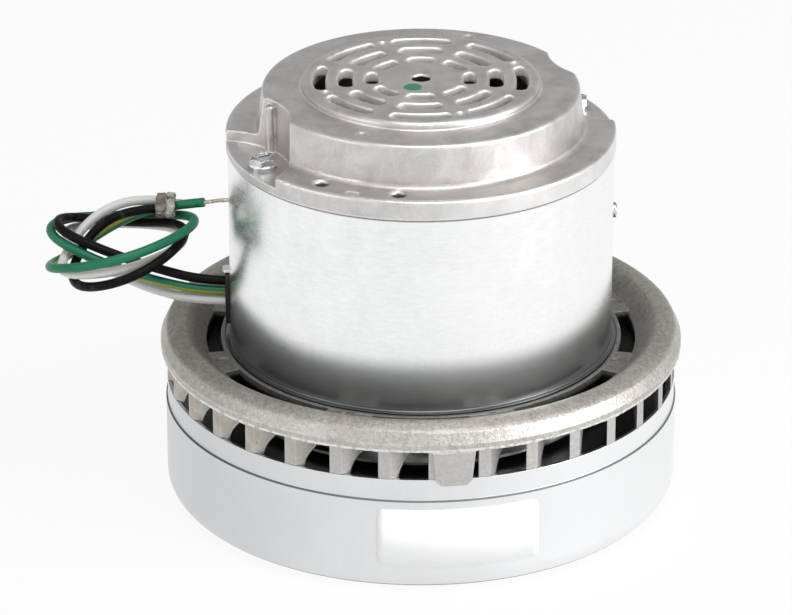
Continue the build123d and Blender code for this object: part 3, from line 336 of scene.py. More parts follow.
def dieCastFinish():  # the top bracket: warm satin die casting with a green inspection mark; painted light on its slot walls and right flange side, a painted reflection of the dark ring on its front flange, painted shade on its underside and down its centre hole, and a painted highlight on its edges
    look = {
        "grain": 0.0006, "flow": 0.010, "patch": 0.026, "edge": 0.0009, "relief": 0.00008, "rounding": 0.00035,
        "rough": 0.41,
        "dark": (0.530, 0.505, 0.495), "light": (0.710, 0.685, 0.672),
        "spread": {"tone": (0.36, 0.64), "patch": (0.52, 0.70), "worn": (0.22, 0.45)},
        "areas": {
            # painted light: the grille's slot walls lit bright
            "slots": [("z", 0.1546, 0.1536), ("reach", 0.0408, 0.0402), ("reach", 0.0045, 0.0065)],
            # painted shade: near black down the centre hole
            "bore": [("z", 0.1545, 0.1538), ("reach", 0.0052, 0.0040)],
            # painted reflection: the front flange darkened, as it mirrors the dark ring below
            "front": [("y", -0.040, -0.062), ("reach", 0.0570, 0.0590), ("reach", 0.0684, 0.0680)],
            # painted shade: darker on the underside
            "under": [("z", 0.1300, 0.1296)],
            # painted light: the flange's right side lightened
            "side": [("reach", 0.0680, 0.0684), ("x", -0.020, 0.030)],
            "top": [("z", 0.1546, 0.1547)],
        },
        "coats": {
            "patch": (0.35, (0.50, 0.47, 0.45)),
            # painted light: the grille's slot walls lit bright
            "slots": (0.7, (0.86, 0.85, 0.84)),
            # painted shade: near black down the centre hole
            "bore": (0.85, (0.03, 0.03, 0.03)),
            # painted reflection: the front flange darkened, as it mirrors the dark ring below
            "front": (0.45, (0.33, 0.315, 0.305)),
            # painted shade: darker on the underside
            "under": (0.5, (0.20, 0.19, 0.18)),
            # painted highlight on the rounded edges
            "worn": (0.9, (0.96, 0.95, 0.94)),
            # painted light: the flange's right side lightened
            "side": (0.6, (0.90, 0.89, 0.88)),
            "mark": (0.9, (0.04, 0.36, 0.23)),
        },
        "mark": {"x": -0.0028, "y": -0.0089, "rim": (0.0036, 0.0030), "blot": 0.003, "bleed": 0.0025},
    }
    spread, mark = look["spread"], look["mark"]
    board = Board("dieCastAluminium", Metallic=1.0)
    grain = board.noise(look["grain"], 3.0, 0.6)
    flow = board.noise(look["flow"], 6.0, 0.62, warp=0.5)
    patch = board.noise(look["patch"], 4.0, 0.55)
    tone = (flow * 0.55 + grain * 0.25 + patch * 0.2).step(*spread["tone"])
    masks = board.regions(look["areas"])
    # painted highlight: rounded edges lightened towards near white
    worn = board.edges(look["edge"]) * flow.step(*spread["worn"]) * (1 - masks["slots"])
    x = board.x - mark["x"]
    y = board.y - mark["y"]
    spot = (x * x + y * y) ** 0.5 + (board.noise(mark["blot"], 3.0, 0.6) - 0.5) * mark["bleed"]
    masks.update(patch=patch.step(*spread["patch"]), worn=worn, mark=spot.step(*mark["rim"]) * masks["top"])
    rough = look["rough"] + (flow - 0.5) * 0.28 - worn * 0.16 + (grain - 0.5) * 0.12
    return board.feed(
        Base_Color=board.coated(board.blend(tone, look["dark"], look["light"]), look["coats"], masks),
        Roughness=rough + masks["slots"] * 0.3 + masks["front"] * 0.10,
        Normal=board.bump(grain * 0.5 + flow * 0.8, look["relief"], look["rounding"]),
    )


def galvanisedFinish():  # the motor can: near-white galvanised sheet, with painted light on its right, a painted reflection of the dark ring round its foot, and painted shade lines below the flange and at its foot
    look = {
        "fleck": 0.0009, "streak": 0.0017, "cloud": 0.009, "relief": 0.000014, "rounding": 0.0003, "rough": 0.28,
        "streakStretch": (0.4, 0.4, 1.5), "cloudStretch": (1.0, 1.0, 0.6), "tone": (0.3, 0.7),
        "dark": (0.84, 0.855, 0.855), "light": (0.96, 0.965, 0.965),
        "areas": {
            # painted light: the can's right side whitened
            "right": [("x", -0.010, 0.030)],
            # left and across shape the painted reflection of the ring round the can's foot
            "left": [("x", -0.042, -0.066)],
            "across": [("x", -0.030, 0.050)],
            # painted shade lines: below the flange's overhang and where the can's foot sits in the ring
            "seam": [("z", 0.1289, 0.1294)],
            "foot": [("z", 0.0589, 0.0581)],
        },
        # painted light: the can's right side whitened
        "coats": {"right": (0.5, (0.99, 0.99, 0.99))},
        # painted reflection: a dark ring of colour round the can's foot, higher on the left
        "drawn": {"top": (0.0795, 0.0708), "lift": 0.0045, "waver": 0.0007, "share": 0.71, "lessAcross": 0.11,
                  "colour": (0.180, 0.212, 0.222)},
        # painted shade lines below the flange and at the can's foot
        "fold": {"seam": 0.8, "foot": 0.7, "colour": (0.06, 0.065, 0.065)},
    }
    drawn, fold = look["drawn"], look["fold"]
    board = Board("galvanisedSheet", Metallic=1.0)
    streak = board.noise(look["streak"], 3.0, 0.6, board.stretched(look["streakStretch"]))
    fleck = board.noise(look["fleck"], 2.0, 0.6)
    cloud = board.noise(look["cloud"], 4.0, 0.6, board.stretched(look["cloudStretch"]))
    tone = (streak * 0.5 + fleck * 0.1 + cloud * 0.4).step(*look["tone"])
    masks = board.regions(look["areas"])
    colour = board.coated(board.blend(tone, look["dark"], look["light"]), look["coats"], masks)
    # painted reflection of the dark ring round the can's foot
    band = (board.z - masks["left"] * drawn["lift"] + (cloud - 0.5) * drawn["waver"]).step(*drawn["top"])
    colour = board.blend(band * (drawn["share"] - masks["across"] * drawn["lessAcross"]), colour, drawn["colour"])
    # painted shade lines below the flange and at the can's foot
    colour = board.blend(masks["seam"] * fold["seam"] + masks["foot"] * fold["foot"], colour, fold["colour"])
    return board.feed(
        Base_Color=colour,
        Roughness=look["rough"] + (streak - 0.5) * 0.10 + (cloud - 0.5) * 0.08 + band * 0.04,
        Normal=board.bump(streak + cloud * 0.5, look["relief"], look["rounding"]),
    )


def drawnShellFinish():  # the fan shell: satin zinc plate, with painted light whitening its right, painted shade on its left and inner wall, and a dark line where it steps in
    look = {
        "grain": 0.0007, "streak": 0.0022, "cloud": 0.03, "relief": 0.000018, "rounding": 0.0003, "rough": 0.37,
        "streakStretch": (1.0, 1.0, 0.08), "tone": (0.3, 0.7), "seam": 0.0350, "seamWidth": (0.00042, 0.00020),
        "dark": (0.715, 0.735, 0.745), "light": (0.79, 0.81, 0.815),
        "areas": {
            # painted light: the shell's right side whitened
            "right": [("x", -0.005, 0.055)],
            # painted shade: the shell's left side darkened
            "left": [("x", -0.015, -0.075)],
            "wall": [("reach", 0.0900, 0.0905)],
            # painted shade: dark on the shell's inner wall
            "inside": [("reach", 0.0896, 0.0893), ("z", 0.0011, 0.0014)],
        },
        "coats": {
            # painted light: the shell's right side whitened
            "right": (0.65, (0.95, 0.965, 0.97)),
            # painted shade: the shell's left side darkened
            "left": (0.45, (0.50, 0.52, 0.53)),
            "groove": (0.85, (0.07, 0.075, 0.075)),
            # painted shade: dark on the shell's inner wall
            "inside": (0.75, (0.12, 0.12, 0.12)),
        },
    }
    board = Board("satinZincShell", Metallic=1.0)
    grain = board.noise(look["grain"], 3.0, 0.6)
    streak = board.noise(look["streak"], 3.0, 0.6, board.stretched(look["streakStretch"]))
    cloud = board.noise(look["cloud"], 4.0, 0.55)
    tone = (cloud * 0.65 + streak * 0.1 + grain * 0.25).step(*look["tone"])
    masks = board.regions(look["areas"])
    groove = (board.z - look["seam"]).absolute().step(*look["seamWidth"]) * masks["wall"]
    masks.update(groove=groove)
    return board.feed(
        Base_Color=board.coated(board.blend(tone, look["dark"], look["light"]), look["coats"], masks),
        Roughness=look["rough"] + (grain - 0.5) * 0.10 + (cloud - 0.5) * 0.10 + groove * 0.2,
        Normal=board.bump(grain, look["relief"], look["rounding"]),
    )


def zincFinish(name, light, rough):  # screws, washers, nuts, bearings, brass and bare strands
    look = {"grain": 0.0005, "cloud": 0.0026, "edge": 0.0004, "relief": 0.000014, "tone": (0.3, 0.7), "shade": 0.62,
            "shine": 1.35, "worn": 0.7}
    board = Board(name, Metallic=1.0)
    grain = board.noise(look["grain"], 3.0, 0.6)
    cloud = board.noise(look["cloud"], 3.0, 0.6)
    colour = board.blend(cloud.step(*look["tone"]), tuple(part * look["shade"] for part in light), light)
    bright = tuple(min(1.0, part * look["shine"]) for part in light)
    return board.feed(
        # edges lightened, partly by wear and partly by a painted highlight
        Base_Color=board.blend(board.edges(look["edge"]) * look["worn"], colour, bright),
        Roughness=rough + (grain - 0.5) * 0.15 + (cloud - 0.5) * 0.12,
        Normal=board.bump(grain * 0.4 + cloud, look["relief"]),
    )


def fanSheetFinish():  # fans and plates: mill finish sheet, a little dusty
    look = {"streak": 0.0009, "cloud": 0.02, "dust": 0.006, "relief": 0.00002, "rough": 0.33,
            "stretch": (1.0, 0.08, 1.0), "dark": (0.56, 0.565, 0.57), "light": (0.76, 0.765, 0.77),
            "dustSpread": (0.5, 0.75), "dustColour": (0.28, 0.27, 0.26)}
    board = Board("millFinishSheet", Metallic=1.0)
    streak = board.noise(look["streak"], 4.0, 0.6, board.stretched(look["stretch"]))
    cloud = board.noise(look["cloud"], 4.0, 0.55)
    dust = board.noise(look["dust"], 4.0, 0.6).step(*look["dustSpread"])
    colour = board.blend(cloud * 0.5 + streak * 0.5, look["dark"], look["light"])
    return board.feed(
        Base_Color=board.blend(dust * 0.2, colour, look["dustColour"]),
        Roughness=look["rough"] + (streak - 0.5) * 0.15 + dust * 0.1,
        Normal=board.bump(streak, look["relief"]),
    )


def copperFinish():  # windings and commutator
    look = {"turns": 0.0006, "stretch": (1.0, 1.0, 0.2), "relief": 0.00015, "rough": 0.32,
            "dark": (0.36, 0.13, 0.05), "light": (0.72, 0.33, 0.16)}
    board = Board("enamelledCopper", Metallic=1.0, Coat_Weight=0.5, Coat_Roughness=0.15)
    turns = board.noise(look["turns"], 3.0, 0.6, board.stretched(look["stretch"]))
    colour = board.blend(turns, look["dark"], look["light"])
    return board.feed(
        Base_Color=colour, Roughness=look["rough"] + turns * 0.15, Normal=board.bump(turns, look["relief"])
    )


def laminationFinish():  # field and armature stacks
    look = {"sheets": 320.0, "cloud": 0.01, "relief": 0.00012, "rough": 0.45,
            "dark": (0.07, 0.065, 0.06), "light": (0.22, 0.21, 0.2)}
    board = Board("varnishedLaminations", Metallic=1.0)
    sheet = board.add("ShaderNodeTexWave", {"bands_direction": "Z"}, {"Vector": board.place, "Scale": look["sheets"]})
    cloud = board.noise(look["cloud"], 4.0, 0.6)
    colour = board.blend(sheet * 0.6 + cloud * 0.4, look["dark"], look["light"])
    return board.feed(
        Base_Color=colour, Roughness=look["rough"] + cloud * 0.2, Normal=board.bump(sheet, look["relief"])
    )


def plasticFinish(name, dark, light, rough=0.45, grainSize=0.0006, depth=0.00004):  # moulded pieces, carbon, seal
    look = {"cloudGrains": 14}
    board = Board(name)
    grain = board.noise(grainSize, 3.0, 0.6)
    cloud = board.noise(grainSize * look["cloudGrains"], 3.0, 0.5)
    return board.feed(
        Base_Color=board.blend(cloud * 0.6 + grain * 0.4, dark, light),
        Roughness=rough + (grain - 0.5) * 0.18,
        Normal=board.bump(grain, depth),
    )


def insulationFinish(name, dark, light, stripe=None, rough=0.38, shine=0.5):  # leads: satin, handled and dusty
    look = {"grain": 0.0005, "scuff": 0.006, "cloud": 0.02, "relief": 0.00002, "scuffSpread": (0.52, 0.75),
            "scuffed": 0.10, "stripeWidth": (0.095, 0.080), "stripeRag": 0.0012, "stripeWaver": 0.01}
    board = Board(name, IOR=1.5, Specular_IOR_Level=shine)
    grain = board.noise(look["grain"], 3.0, 0.6)
    scuff = board.noise(look["scuff"], 4.0, 0.65).step(*look["scuffSpread"])
    colour = board.blend(board.noise(look["cloud"], 2.0), dark, light)
    if stripe:  # one stripe along the lead, read from the tube's own map
        turn = board.axis("X", board.add("ShaderNodeUVMap", {"uv_map": "lay"}, {}))
        off = (turn - 0.5).absolute() + board.noise(look["stripeRag"], 2.0) * look["stripeWaver"]
        colour = board.blend(off.step(*look["stripeWidth"]), colour, stripe)
    return board.feed(
        Base_Color=board.blend(scuff * look["scuffed"], colour, tuple(0.4 + part * 0.3 for part in light)),
        Roughness=rough + scuff * 0.15 + (grain - 0.5) * 0.1,
        Normal=board.bump(grain + scuff * 0.5, look["relief"]),
    )


def tieFinish():  # the tie: crumpled paper, grimy in its folds, brown on its left wrap and pale on the right one
    look = {"fibre": 0.0009, "grime": 0.0035, "stretch": (0.35, 1.0, 1.0), "relief": 0.0004, "rounding": 0.0001,
            "rough": 0.78, "between": (-0.0916, -0.0904), "waver": 0.003,
            "brown": {"spread": (0.38, 0.62), "dark": (0.13, 0.105, 0.09), "light": (0.44, 0.40, 0.36)},
            "pale": {"spread": (0.36, 0.60), "dark": (0.30, 0.28, 0.26), "light": (0.78, 0.76, 0.73)},
            "grimeSpread": (0.56, 0.72), "grimeColour": (0.09, 0.07, 0.06)}
    board = Board("tiePaper")
    fibre = board.noise(look["fibre"], 5.0, 0.75, board.stretched(look["stretch"]))
    grime = board.noise(look["grime"], 4.0, 0.65)
    wrap = (board.x + (grime - 0.5) * look["waver"]).step(*look["between"])
    wraps = [board.blend(fibre.step(*look[kind]["spread"]), look[kind]["dark"], look[kind]["light"])
             for kind in ("brown", "pale")]
    colour = board.blend(grime.step(*look["grimeSpread"]) * 0.5, board.blend(wrap, *wraps), look["grimeColour"])
    return board.feed(
        Base_Color=colour,
        Roughness=look["rough"] - fibre * 0.15,
        Normal=board.bump(fibre, look["relief"], look["rounding"]),
    )


def paperFinish():  # the blank label: plain white paper with a faint painted glow, a little brighter than the light on it
    look = {"fibre": 0.0008, "cloud": 0.012, "relief": 0.00002, "rough": 0.55,
            "dark": (0.90, 0.905, 0.915), "light": (0.95, 0.955, 0.96)}
    board = Board("blankLabelPaper", Specular_IOR_Level=0.25, Emission_Color=(1, 1, 1, 1), Emission_Strength=0.10)
    fibre = board.noise(look["fibre"], 4.0, 0.6)
    cloud = board.noise(look["cloud"], 3.0, 0.5)
    return board.feed(
        Base_Color=board.blend(cloud, look["dark"], look["light"]),
        Roughness=look["rough"] + (fibre - 0.5) * 0.1,
        Normal=board.bump(fibre * 0.4 + cloud, look["relief"]),
    )


finishes = {
    "sand": sandCastFinish(),
    "die": dieCastFinish(),
    "can": galvanisedFinish(),
    "shell": drawnShellFinish(),
    "zinc": zincFinish("brightZinc", (0.72, 0.73, 0.73), 0.20),
    "ground": zincFinish("groundSteel", (0.60, 0.61, 0.62), 0.22),
    "fan": fanSheetFinish(),
    "copper": copperFinish(),
    "stack": laminationFinish(),
    "brass": zincFinish("drawnBrass", (0.70, 0.50, 0.20), 0.30),
    "tinned": zincFinish("tinnedStrands", (0.62, 0.56, 0.47), 0.32),
    "resin": plasticFinish("mouldedResin", (0.030, 0.018, 0.012), (0.075, 0.045, 0.030), 0.42),
    "carbon": plasticFinish("carbonBlock", (0.010, 0.010, 0.011), (0.03, 0.03, 0.032), 0.6),
    "felt": plasticFinish("sealFelt", (0.02, 0.02, 0.02), (0.05, 0.05, 0.05), 0.9, 0.0003, 0.0002),
    "rubber": plasticFinish("grommetRubber", (0.006, 0.006, 0.006), (0.014, 0.014, 0.014), 0.5),
    "tie": tieFinish(),
    "black": insulationFinish("blackInsulation", (0.0025, 0.002, 0.002), (0.005, 0.0045, 0.004), rough=0.40,
                              shine=0.12),
    "green": insulationFinish("greenInsulation", (0.003, 0.155, 0.074), (0.010, 0.245, 0.125), (0.38, 0.37, 0.035),
                              shine=0.4),
    "white": insulationFinish("whiteInsulation", (0.84, 0.83, 0.80), (0.95, 0.94, 0.92)),
    "label": paperFinish(),
}

dressing = {
    "sand": ["fan_bracket"],
    "die": ["top_bracket"],
    "can": ["motor_can"],
    "shell": ["fan_shell", "separator_plate"],
    "zinc": ["can_screw", "through_screws", "fan_washers", "lock_nut", "holder_screws"],
    "ground": ["shaft", "wave_washer", "upper_spacer", "brush_spring_rear", "brush_spring_front"]
    + [f"{end}_bearing_{kind}" for end in ("upper", "lower") for kind in ("inner_race", "outer_race", "balls")],
    "fan": ["return_vane_plate", "lower_spacer"]
    + [f"{stage}_fan_{kind}" for stage in ("lower", "upper") for kind in ("back_plate", "front_plate", "vanes")],
    "copper": ["field_coil_left", "field_coil_right", "armature_winding", "commutator_bars"],
    "stack": ["field_core", "armature_core"],
    "brass": ["brush_tube_rear", "brush_tube_front", "upper_bearing_cage", "lower_bearing_cage"],
    "resin": ["commutator_hub", "armature_sleeve", "cooling_fan", "brush_holder_rear", "brush_holder_front"],
    "carbon": ["carbon_brush_rear", "carbon_brush_front"],
    "felt": ["air_seal"],
    "rubber": ["lead_grommet"],
    "tinned": [f"lead_{colour}_bare_end" for colour in ("black", "green", "white")],
    "tie": ["twist_tie"],
    "black": ["lead_black"],
    "green": ["lead_green"],
    "white": ["lead_white"],
}


def dress(piece, finish):
    piece.data.materials.clear()
    piece.data.materials.append(finishes[finish])


for finish, members in dressing.items():
    for name in members:
        dress(nodes[name], finish)
print("materials:", len(finishes), "finishes on", sum(len(members) for members in dressing.values()), "nodes")


def placed(name, mesh, finish, body):
    piece = bpy.data.objects.new(name, mesh)
    bpy.context.scene.collection.objects.link(piece)
    dress(piece, finish)
    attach(piece, body)
    return piece


def meshOf(name, vertices, faces, smooth=None):  # smooth has one value for each face, or all are
    mesh = bpy.data.meshes.new(name)
    mesh.from_pydata([tuple(vertex) for vertex in vertices], [], faces)
    mesh.polygons.foreach_set("use_smooth", smooth or [True] * len(faces))
    mesh.update()
    return mesh


# Leads: round insulation along each route's own smooth line, with bare twisted strands at their ends

leadShape = {
    "diameter": 0.0034,
    "sides": 20,
    "smoothness": 10,
    "startUp": (0.0, 0.3, 1.0),
    "stripeTurns": ((0, -1.10), (0.10, -1.12), (0.20, -1.28), (0.36, -1.25), (0.55, -1.50), (0.75, -1.52),
                    (0.82, -1.66), (0.93, -1.71), (0.97, -1.95), (1.0, -2.0)),
    "lengths": {"black": 0.244, "green": 0.296, "white": 0.254},
    "routes": {  # in millimetres
        "black": [
            (-63, 0, 76.9), (-77, 0, 76.9), (-93, -0.5, 81.5), (-107.5, 0, 86.5), (-120, 2.5, 90.75),
            (-128.75, 7.5, 93.5), (-130.5, 16.5, 93.75), (-124.5, 23.5, 91.5), (-113.75, 25.5, 89.25),
            (-102.25, 24.25, 89), (-92.25, 20.25, 90.75), (-85.5, 13, 92.75), (-83.5, 4, 93.25),
            (-86.75, -5.25, 91.75), (-93.75, -13, 88.75), (-103, -17.25, 85.25), (-112.75, -17.25, 82.25),
            (-120.5, -12.5, 80), (-124, -4.25, 79.5), (-123.5, 4, 82.25), (-119.5, 10, 88.25),
            (-113, 13.5, 94), (-104.5, 15.25, 97.25), (-95, 16, 98),
        ],
        "green": [
            (-63, 0, 73), (-77, 0, 73), (-93.5, -0.5, 76.75), (-109, -0.25, 82.25), (-122.25, 2, 87.25),
            (-131.25, 8.25, 90), (-133.25, 17.5, 90.5), (-127.5, 26, 90), (-116.75, 29.5, 89.25),
            (-104, 29.25, 89.75), (-91.75, 25.5, 91.5), (-83.25, 18.5, 94.25), (-80, 9.25, 96.25),
            (-83, -1, 96.75), (-91, -10.25, 95.75), (-102, -16.25, 93.5), (-114.25, -17.5, 90.75),
            (-125, -13.5, 87.5), (-131.75, -5, 84), (-132.25, 5.5, 80.75), (-127, 15, 79.75),
            (-118.75, 19.75, 84.25), (-108.75, 21, 90.5), (-98.25, 20.75, 95.25), (-87.75, 19.25, 98),
            (-77.5, 17, 100),
        ],
        "white": [
            (-63, 0, 69.1), (-77, 0, 69.1), (-93.5, 1.75, 71.75), (-108, 5.25, 76.75), (-120, 9.75, 82.25),
            (-127.5, 16.5, 86), (-127.5, 25, 86), (-120.5, 31, 85), (-110.25, 33.25, 84.75),
            (-99.5, 30.75, 85.5), (-90.5, 25, 87), (-85.25, 16.5, 88.25), (-84.75, 7, 89),
            (-88.75, -2.25, 89.25), (-96.25, -9.5, 88.5), (-105.75, -13.75, 87), (-115.5, -14, 85.5),
            (-123.75, -10, 83.75), (-128, -2.75, 82.25), (-127.5, 5.25, 83.25), (-123.5, 12.25, 88.75),
            (-116.5, 18, 94.5), (-107.75, 21.75, 97.75), (-98.75, 24.25, 98), (-89.5, 26, 96.5),
        ],
    },
}

strandShape = {
    "lengths": {"black": 0.0030, "green": 0.0090, "white": 0.0036},
    "fray": {"black": 0.0006, "green": 0.00012, "white": 0.0005},
    "starts": (-0.25, 0.2, 0.6, 1.0),
    "lift": 0.0002,
    "firstSeed": 3,
    "twist": {"Strands": 9, "LayRadius": 0.00050, "WireRadius": 0.00021, "Turns": 1.3},
}

wireShape = {"Steps": 20, "Sides": 7, "LeastFray": 0.1, "MostFray": 1.0, "Drift": 0.15}  # for strands and tie alike


def smoothLine(route, smoothness):
    data = bpy.data.curves.new("line", "CURVE")
    data.dimensions = "3D"
    data.resolution_u = smoothness
    spline = data.splines.new("NURBS")
    spline.points.add(len(route) - 1)
    for point, place in zip(spline.points, route):
        point.co = (*(part / 1000 for part in place), 1.0)
    spline.order_u = 3
    spline.use_endpoint_u = True
    line = bpy.data.objects.new("line", data)
    bpy.context.scene.collection.objects.link(line)
    mesh = bpy.data.meshes.new_from_object(line)
    points = np.array([vertex.co for vertex in mesh.vertices], float)
    bpy.data.objects.remove(line)
    bpy.data.meshes.remove(mesh)
    return points


def sweptFrames(points, startUp):  # a direction across the line at each point, carried along without turning
    along = np.gradient(points, axis=0)
    along /= np.linalg.norm(along, axis=1)[:, None]
    side = np.cross(along[0], startUp)
    side /= np.linalg.norm(side)
    sides = []
    for direction in along:
        side = side - direction * (side @ direction)
        side = side / np.linalg.norm(side)
        sides.append(side)
    sides = np.array(sides)
    return along, sides, np.cross(along, sides)


def tubeMesh(name, points, shape):  # its map has the turn round the tube in U and the length along it in V
    sides, radius = shape["sides"], shape["diameter"] / 2
    along, across, up = sweptFrames(points, shape["startUp"])
    length = np.concatenate([[0], np.cumsum(np.linalg.norm(np.diff(points, axis=0), axis=1))])
    turn = np.interp(length / length[-1], *zip(*shape["stripeTurns"]))
    vertices, faces, laid = [], [], []
    for i, point in enumerate(points):
        for k in range(sides):
            angle = math.tau * (k / sides + turn[i])
            vertices.append(point + (across[i] * math.cos(angle) + up[i] * math.sin(angle)) * radius)
    for i in range(len(points) - 1):
        for k in range(sides):
            after = (k + 1) % sides
            faces.append((i * sides + k, i * sides + after, (i + 1) * sides + after, (i + 1) * sides + k))
            laid += [(k / sides, length[i]), ((k + 1) / sides, length[i]),
                     ((k + 1) / sides, length[i + 1]), (k / sides, length[i + 1])]
    for end, order in ((0, -1), (len(points) - 1, 1)):
        faces.append([end * sides + k for k in range(sides)][::order])
        laid += [(0.0, length[end])] * sides
    mesh = meshOf(name, vertices, faces, [len(face) == 4 for face in faces])
    layer = mesh.uv_layers.new(name="lay")
    for spot, value in zip(layer.data, laid):
        spot.uv = value
    return mesh


def strandMesh(name, places, finish, seed, **sizes):  # wires twisted round a line, opening out at its end
    grower = Grower("bareStrands", **wireShape, **sizes, Seed=seed)
    line = grower.add("GeometryNodeMeshToCurve", {}, {0: grower.source()})
    line = grower.add("GeometryNodeResampleCurve", {"mode": "COUNT"}, {0: line, 2: grower.size("Steps")})
    copies = grower.add("GeometryNodeDuplicateElements", {"domain": "SPLINE"}, {0: line, 2: grower.size("Strands")})
    index = Signal(grower, copies.socket.node.outputs[1])
    share = grower.add("GeometryNodeSplineParameter", {}, {})
    outer = index.least(1.0)  # the first wire stays in the middle
    chance = grower.add(
        "FunctionNodeRandomValue", {"data_type": "FLOAT"},
        {2: grower.size("LeastFray"), 3: grower.size("MostFray"), 7: index, 8: grower.size("Seed")}, 1,
    )
    turned = index / (grower.size("Strands") - 1) + grower.size("Turns") * share
    phase = (turned + chance * share * grower.size("Drift")) * math.tau
    reach = outer * grower.size("LayRadius") + share * share * chance * grower.size("Fray")
    along = grower.add("GeometryNodeInputTangent", {}, {})
    across = grower.add("GeometryNodeInputNormal", {}, {})
    up = grower.vector("CROSS_PRODUCT", along, across)
    shift = grower.vector(
        "ADD",
        grower.vector("SCALE", across, Scale=reach * phase.wave("COSINE")),
        grower.vector("SCALE", up, Scale=reach * phase.wave("SINE")),
    )
    laid = grower.add("GeometryNodeSetPosition", {}, {0: copies, 3: shift})
    wire = grower.circle("Sides", "WireRadius")
    tubes = grower.add("GeometryNodeCurveToMesh", {}, {0: laid, 1: wire, 3: True})
    start = bpy.data.meshes.new(name + "Line")
    start.from_pydata([tuple(place) for place in places], [(i, i + 1) for i in range(len(places) - 1)], [])
    return grower.build(name, tubes, finish, start)


def makeLeads(shape, ends):
    for seed, (colour, route) in enumerate(shape["routes"].items(), ends["firstSeed"]):
        points = smoothLine(route, shape["smoothness"])
        name = f"lead{colour.title()}"
        tube = placed(name, tubeMesh(name, points, shape), colour, "housing")
        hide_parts(f"lead_{colour}")
        last = Vector(route[-1]) / 1000
        along = (last - Vector(route[-2]) / 1000).normalized()
        places = [last + along * ends["lengths"][colour] * share for share in ends["starts"]]
        places[2] += Vector((0, 0, ends["lift"]))
        mesh = strandMesh(f"{colour}Strands", places, "tinned", seed, **ends["twist"], Fray=ends["fray"][colour])
        bare = placed(f"{colour}Strands", mesh, "tinned", "housing")
        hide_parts(f"lead_{colour}_bare_end")
    print("leads:", ", ".join(shape["routes"]), "with", ends["twist"]["Strands"], "strands each")


makeLeads(leadShape, strandShape)


# Tie: two crumpled paper wraps round the bundle, with a twisted tail

tieShape = {
    "corners": ((25.4, 96.2), (19.6, 96.7), (16.6, 97.1), (16.8, 97.8), (20.0, 98.1), (25.6, 97.2)),  # in millimetres
    "cornerSteps": 8,
    "clear": 0.0019,
    "wall": 0.0006,
    "thinned": 0.5,
    "crumple": 0.0007,
    "deepest": -0.0003,
    "rag": 0.0005,
    "noiseRing": 3.0,
    "folds": {"around": 2.2, "across": 1.6, "share": 1.0},
    "creases": {"around": 7, "across": 5, "share": 0.5},
    "foldSeed": 5,
    "edgeSeed": 7,
    "rightSeed": 3,
    "wraps": ((-0.0931, 0.0034), (-0.0899, 0.0036)),
    "around": 150,
    "across": 9,
    "tail": ((-0.0912, 0.0215, 0.0990), (-0.0905, 0.0205, 0.1012), (-0.0893, 0.0192, 0.1024),
             (-0.0888, 0.0176, 0.1020)),
    "tailSeed": 5,
    "tailTwist": {"Strands": 2, "LayRadius": 0.0006, "WireRadius": 0.00052, "Turns": 1.6, "Fray": 0.0005},
}


def hullLine(corners, steps, clear, count):  # places and outward directions evenly round the corners, in Y and Z
    corners = [Vector(corner) / 1000 for corner in corners]
    line = []
    for before, here, after in zip(corners[-1:] + corners[:-1], corners, corners[1:] + corners[:1]):
        edges = [(here - before).normalized(), (after - here).normalized()]
        start, stop = (math.atan2(edge.x, -edge.y) for edge in edges)
        turn = (stop - start) % math.tau
        turn = turn - math.tau if turn > math.pi else turn
        line += [(here, start + turn * k / steps) for k in range(steps + 1)]
    places = np.array([(corner.x + clear * math.cos(angle), corner.y + clear * math.sin(angle))
                       for corner, angle in line])
    angles = np.unwrap([angle for corner, angle in line])
    closed = np.vstack([places, places[:1]])
    angles = np.append(angles, angles[0] - math.tau)
    run = np.concatenate([[0], np.cumsum(np.linalg.norm(np.diff(closed, axis=0), axis=1))])
    spots = np.linspace(0, run[-1], count, endpoint=False)
    return [(np.interp(spot, run, closed[:, 0]), np.interp(spot, run, closed[:, 1]), np.interp(spot, run, angles))
            for spot in spots]


def ragged(ring, scale, depth):  # noise round a ring, so that it closes on itself
    return noise.noise(Vector((ring[0] * scale, ring[1] * scale, depth)))


def makeTie(shape):
    vertices, faces = [], []
    around, across = shape["around"], shape["across"]
    line = hullLine(shape["corners"], shape["cornerSteps"], shape["clear"], around)
    for wrap, (middle, width) in enumerate(shape["wraps"]):
        first = len(vertices)
        for i, (y, z, angle) in enumerate(line):
            turn = math.tau * i / around
            ring = (math.cos(turn) * shape["noiseRing"], math.sin(turn) * shape["noiseRing"])
            for side in (1, 0):
                for k in range(across) if side else reversed(range(across)):
                    share = k / (across - 1) * 2 - 1
                    depth = wrap * shape["edgeSeed"] + (shape["rightSeed"] if share > 0 else 0)
                    edge = ragged(ring, 1, depth) * shape["rag"] * abs(share)
                    rise = 0
                    for kind in (shape["folds"], shape["creases"]):
                        depth = share * kind["across"] + wrap * shape["foldSeed"]
                        rise += ragged(ring, kind["around"], depth) * shape["crumple"] * kind["share"]
                    rise = max(rise, shape["deepest"]) + side * shape["wall"] * (1 - shape["thinned"] * share ** 4)
                    vertices.append((middle + share * width / 2 + edge, y + math.cos(angle) * rise,
                                     z + math.sin(angle) * rise))
        ring = across * 2
        for i in range(around):
            for k in range(ring):
                a, b = first + i * ring, first + (i + 1) % around * ring
                faces.append((a + k, a + (k + 1) % ring, b + (k + 1) % ring, b + k))
    wraps = placed("tieWraps", meshOf("tieWraps", vertices, faces), "tie", "housing")
    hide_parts("twist_tie")
    mesh = strandMesh("tieTail", shape["tail"], "tie", shape["tailSeed"], **shape["tailTwist"])
    placed("tieTail", mesh, "tie", "housing")
    print("tie:", len(shape["wraps"]), "wraps and a tail")


makeTie(tieShape)


# Casting flash: a ragged ridge along the ring's lower outer edge, bright with the sand finish's painted highlight

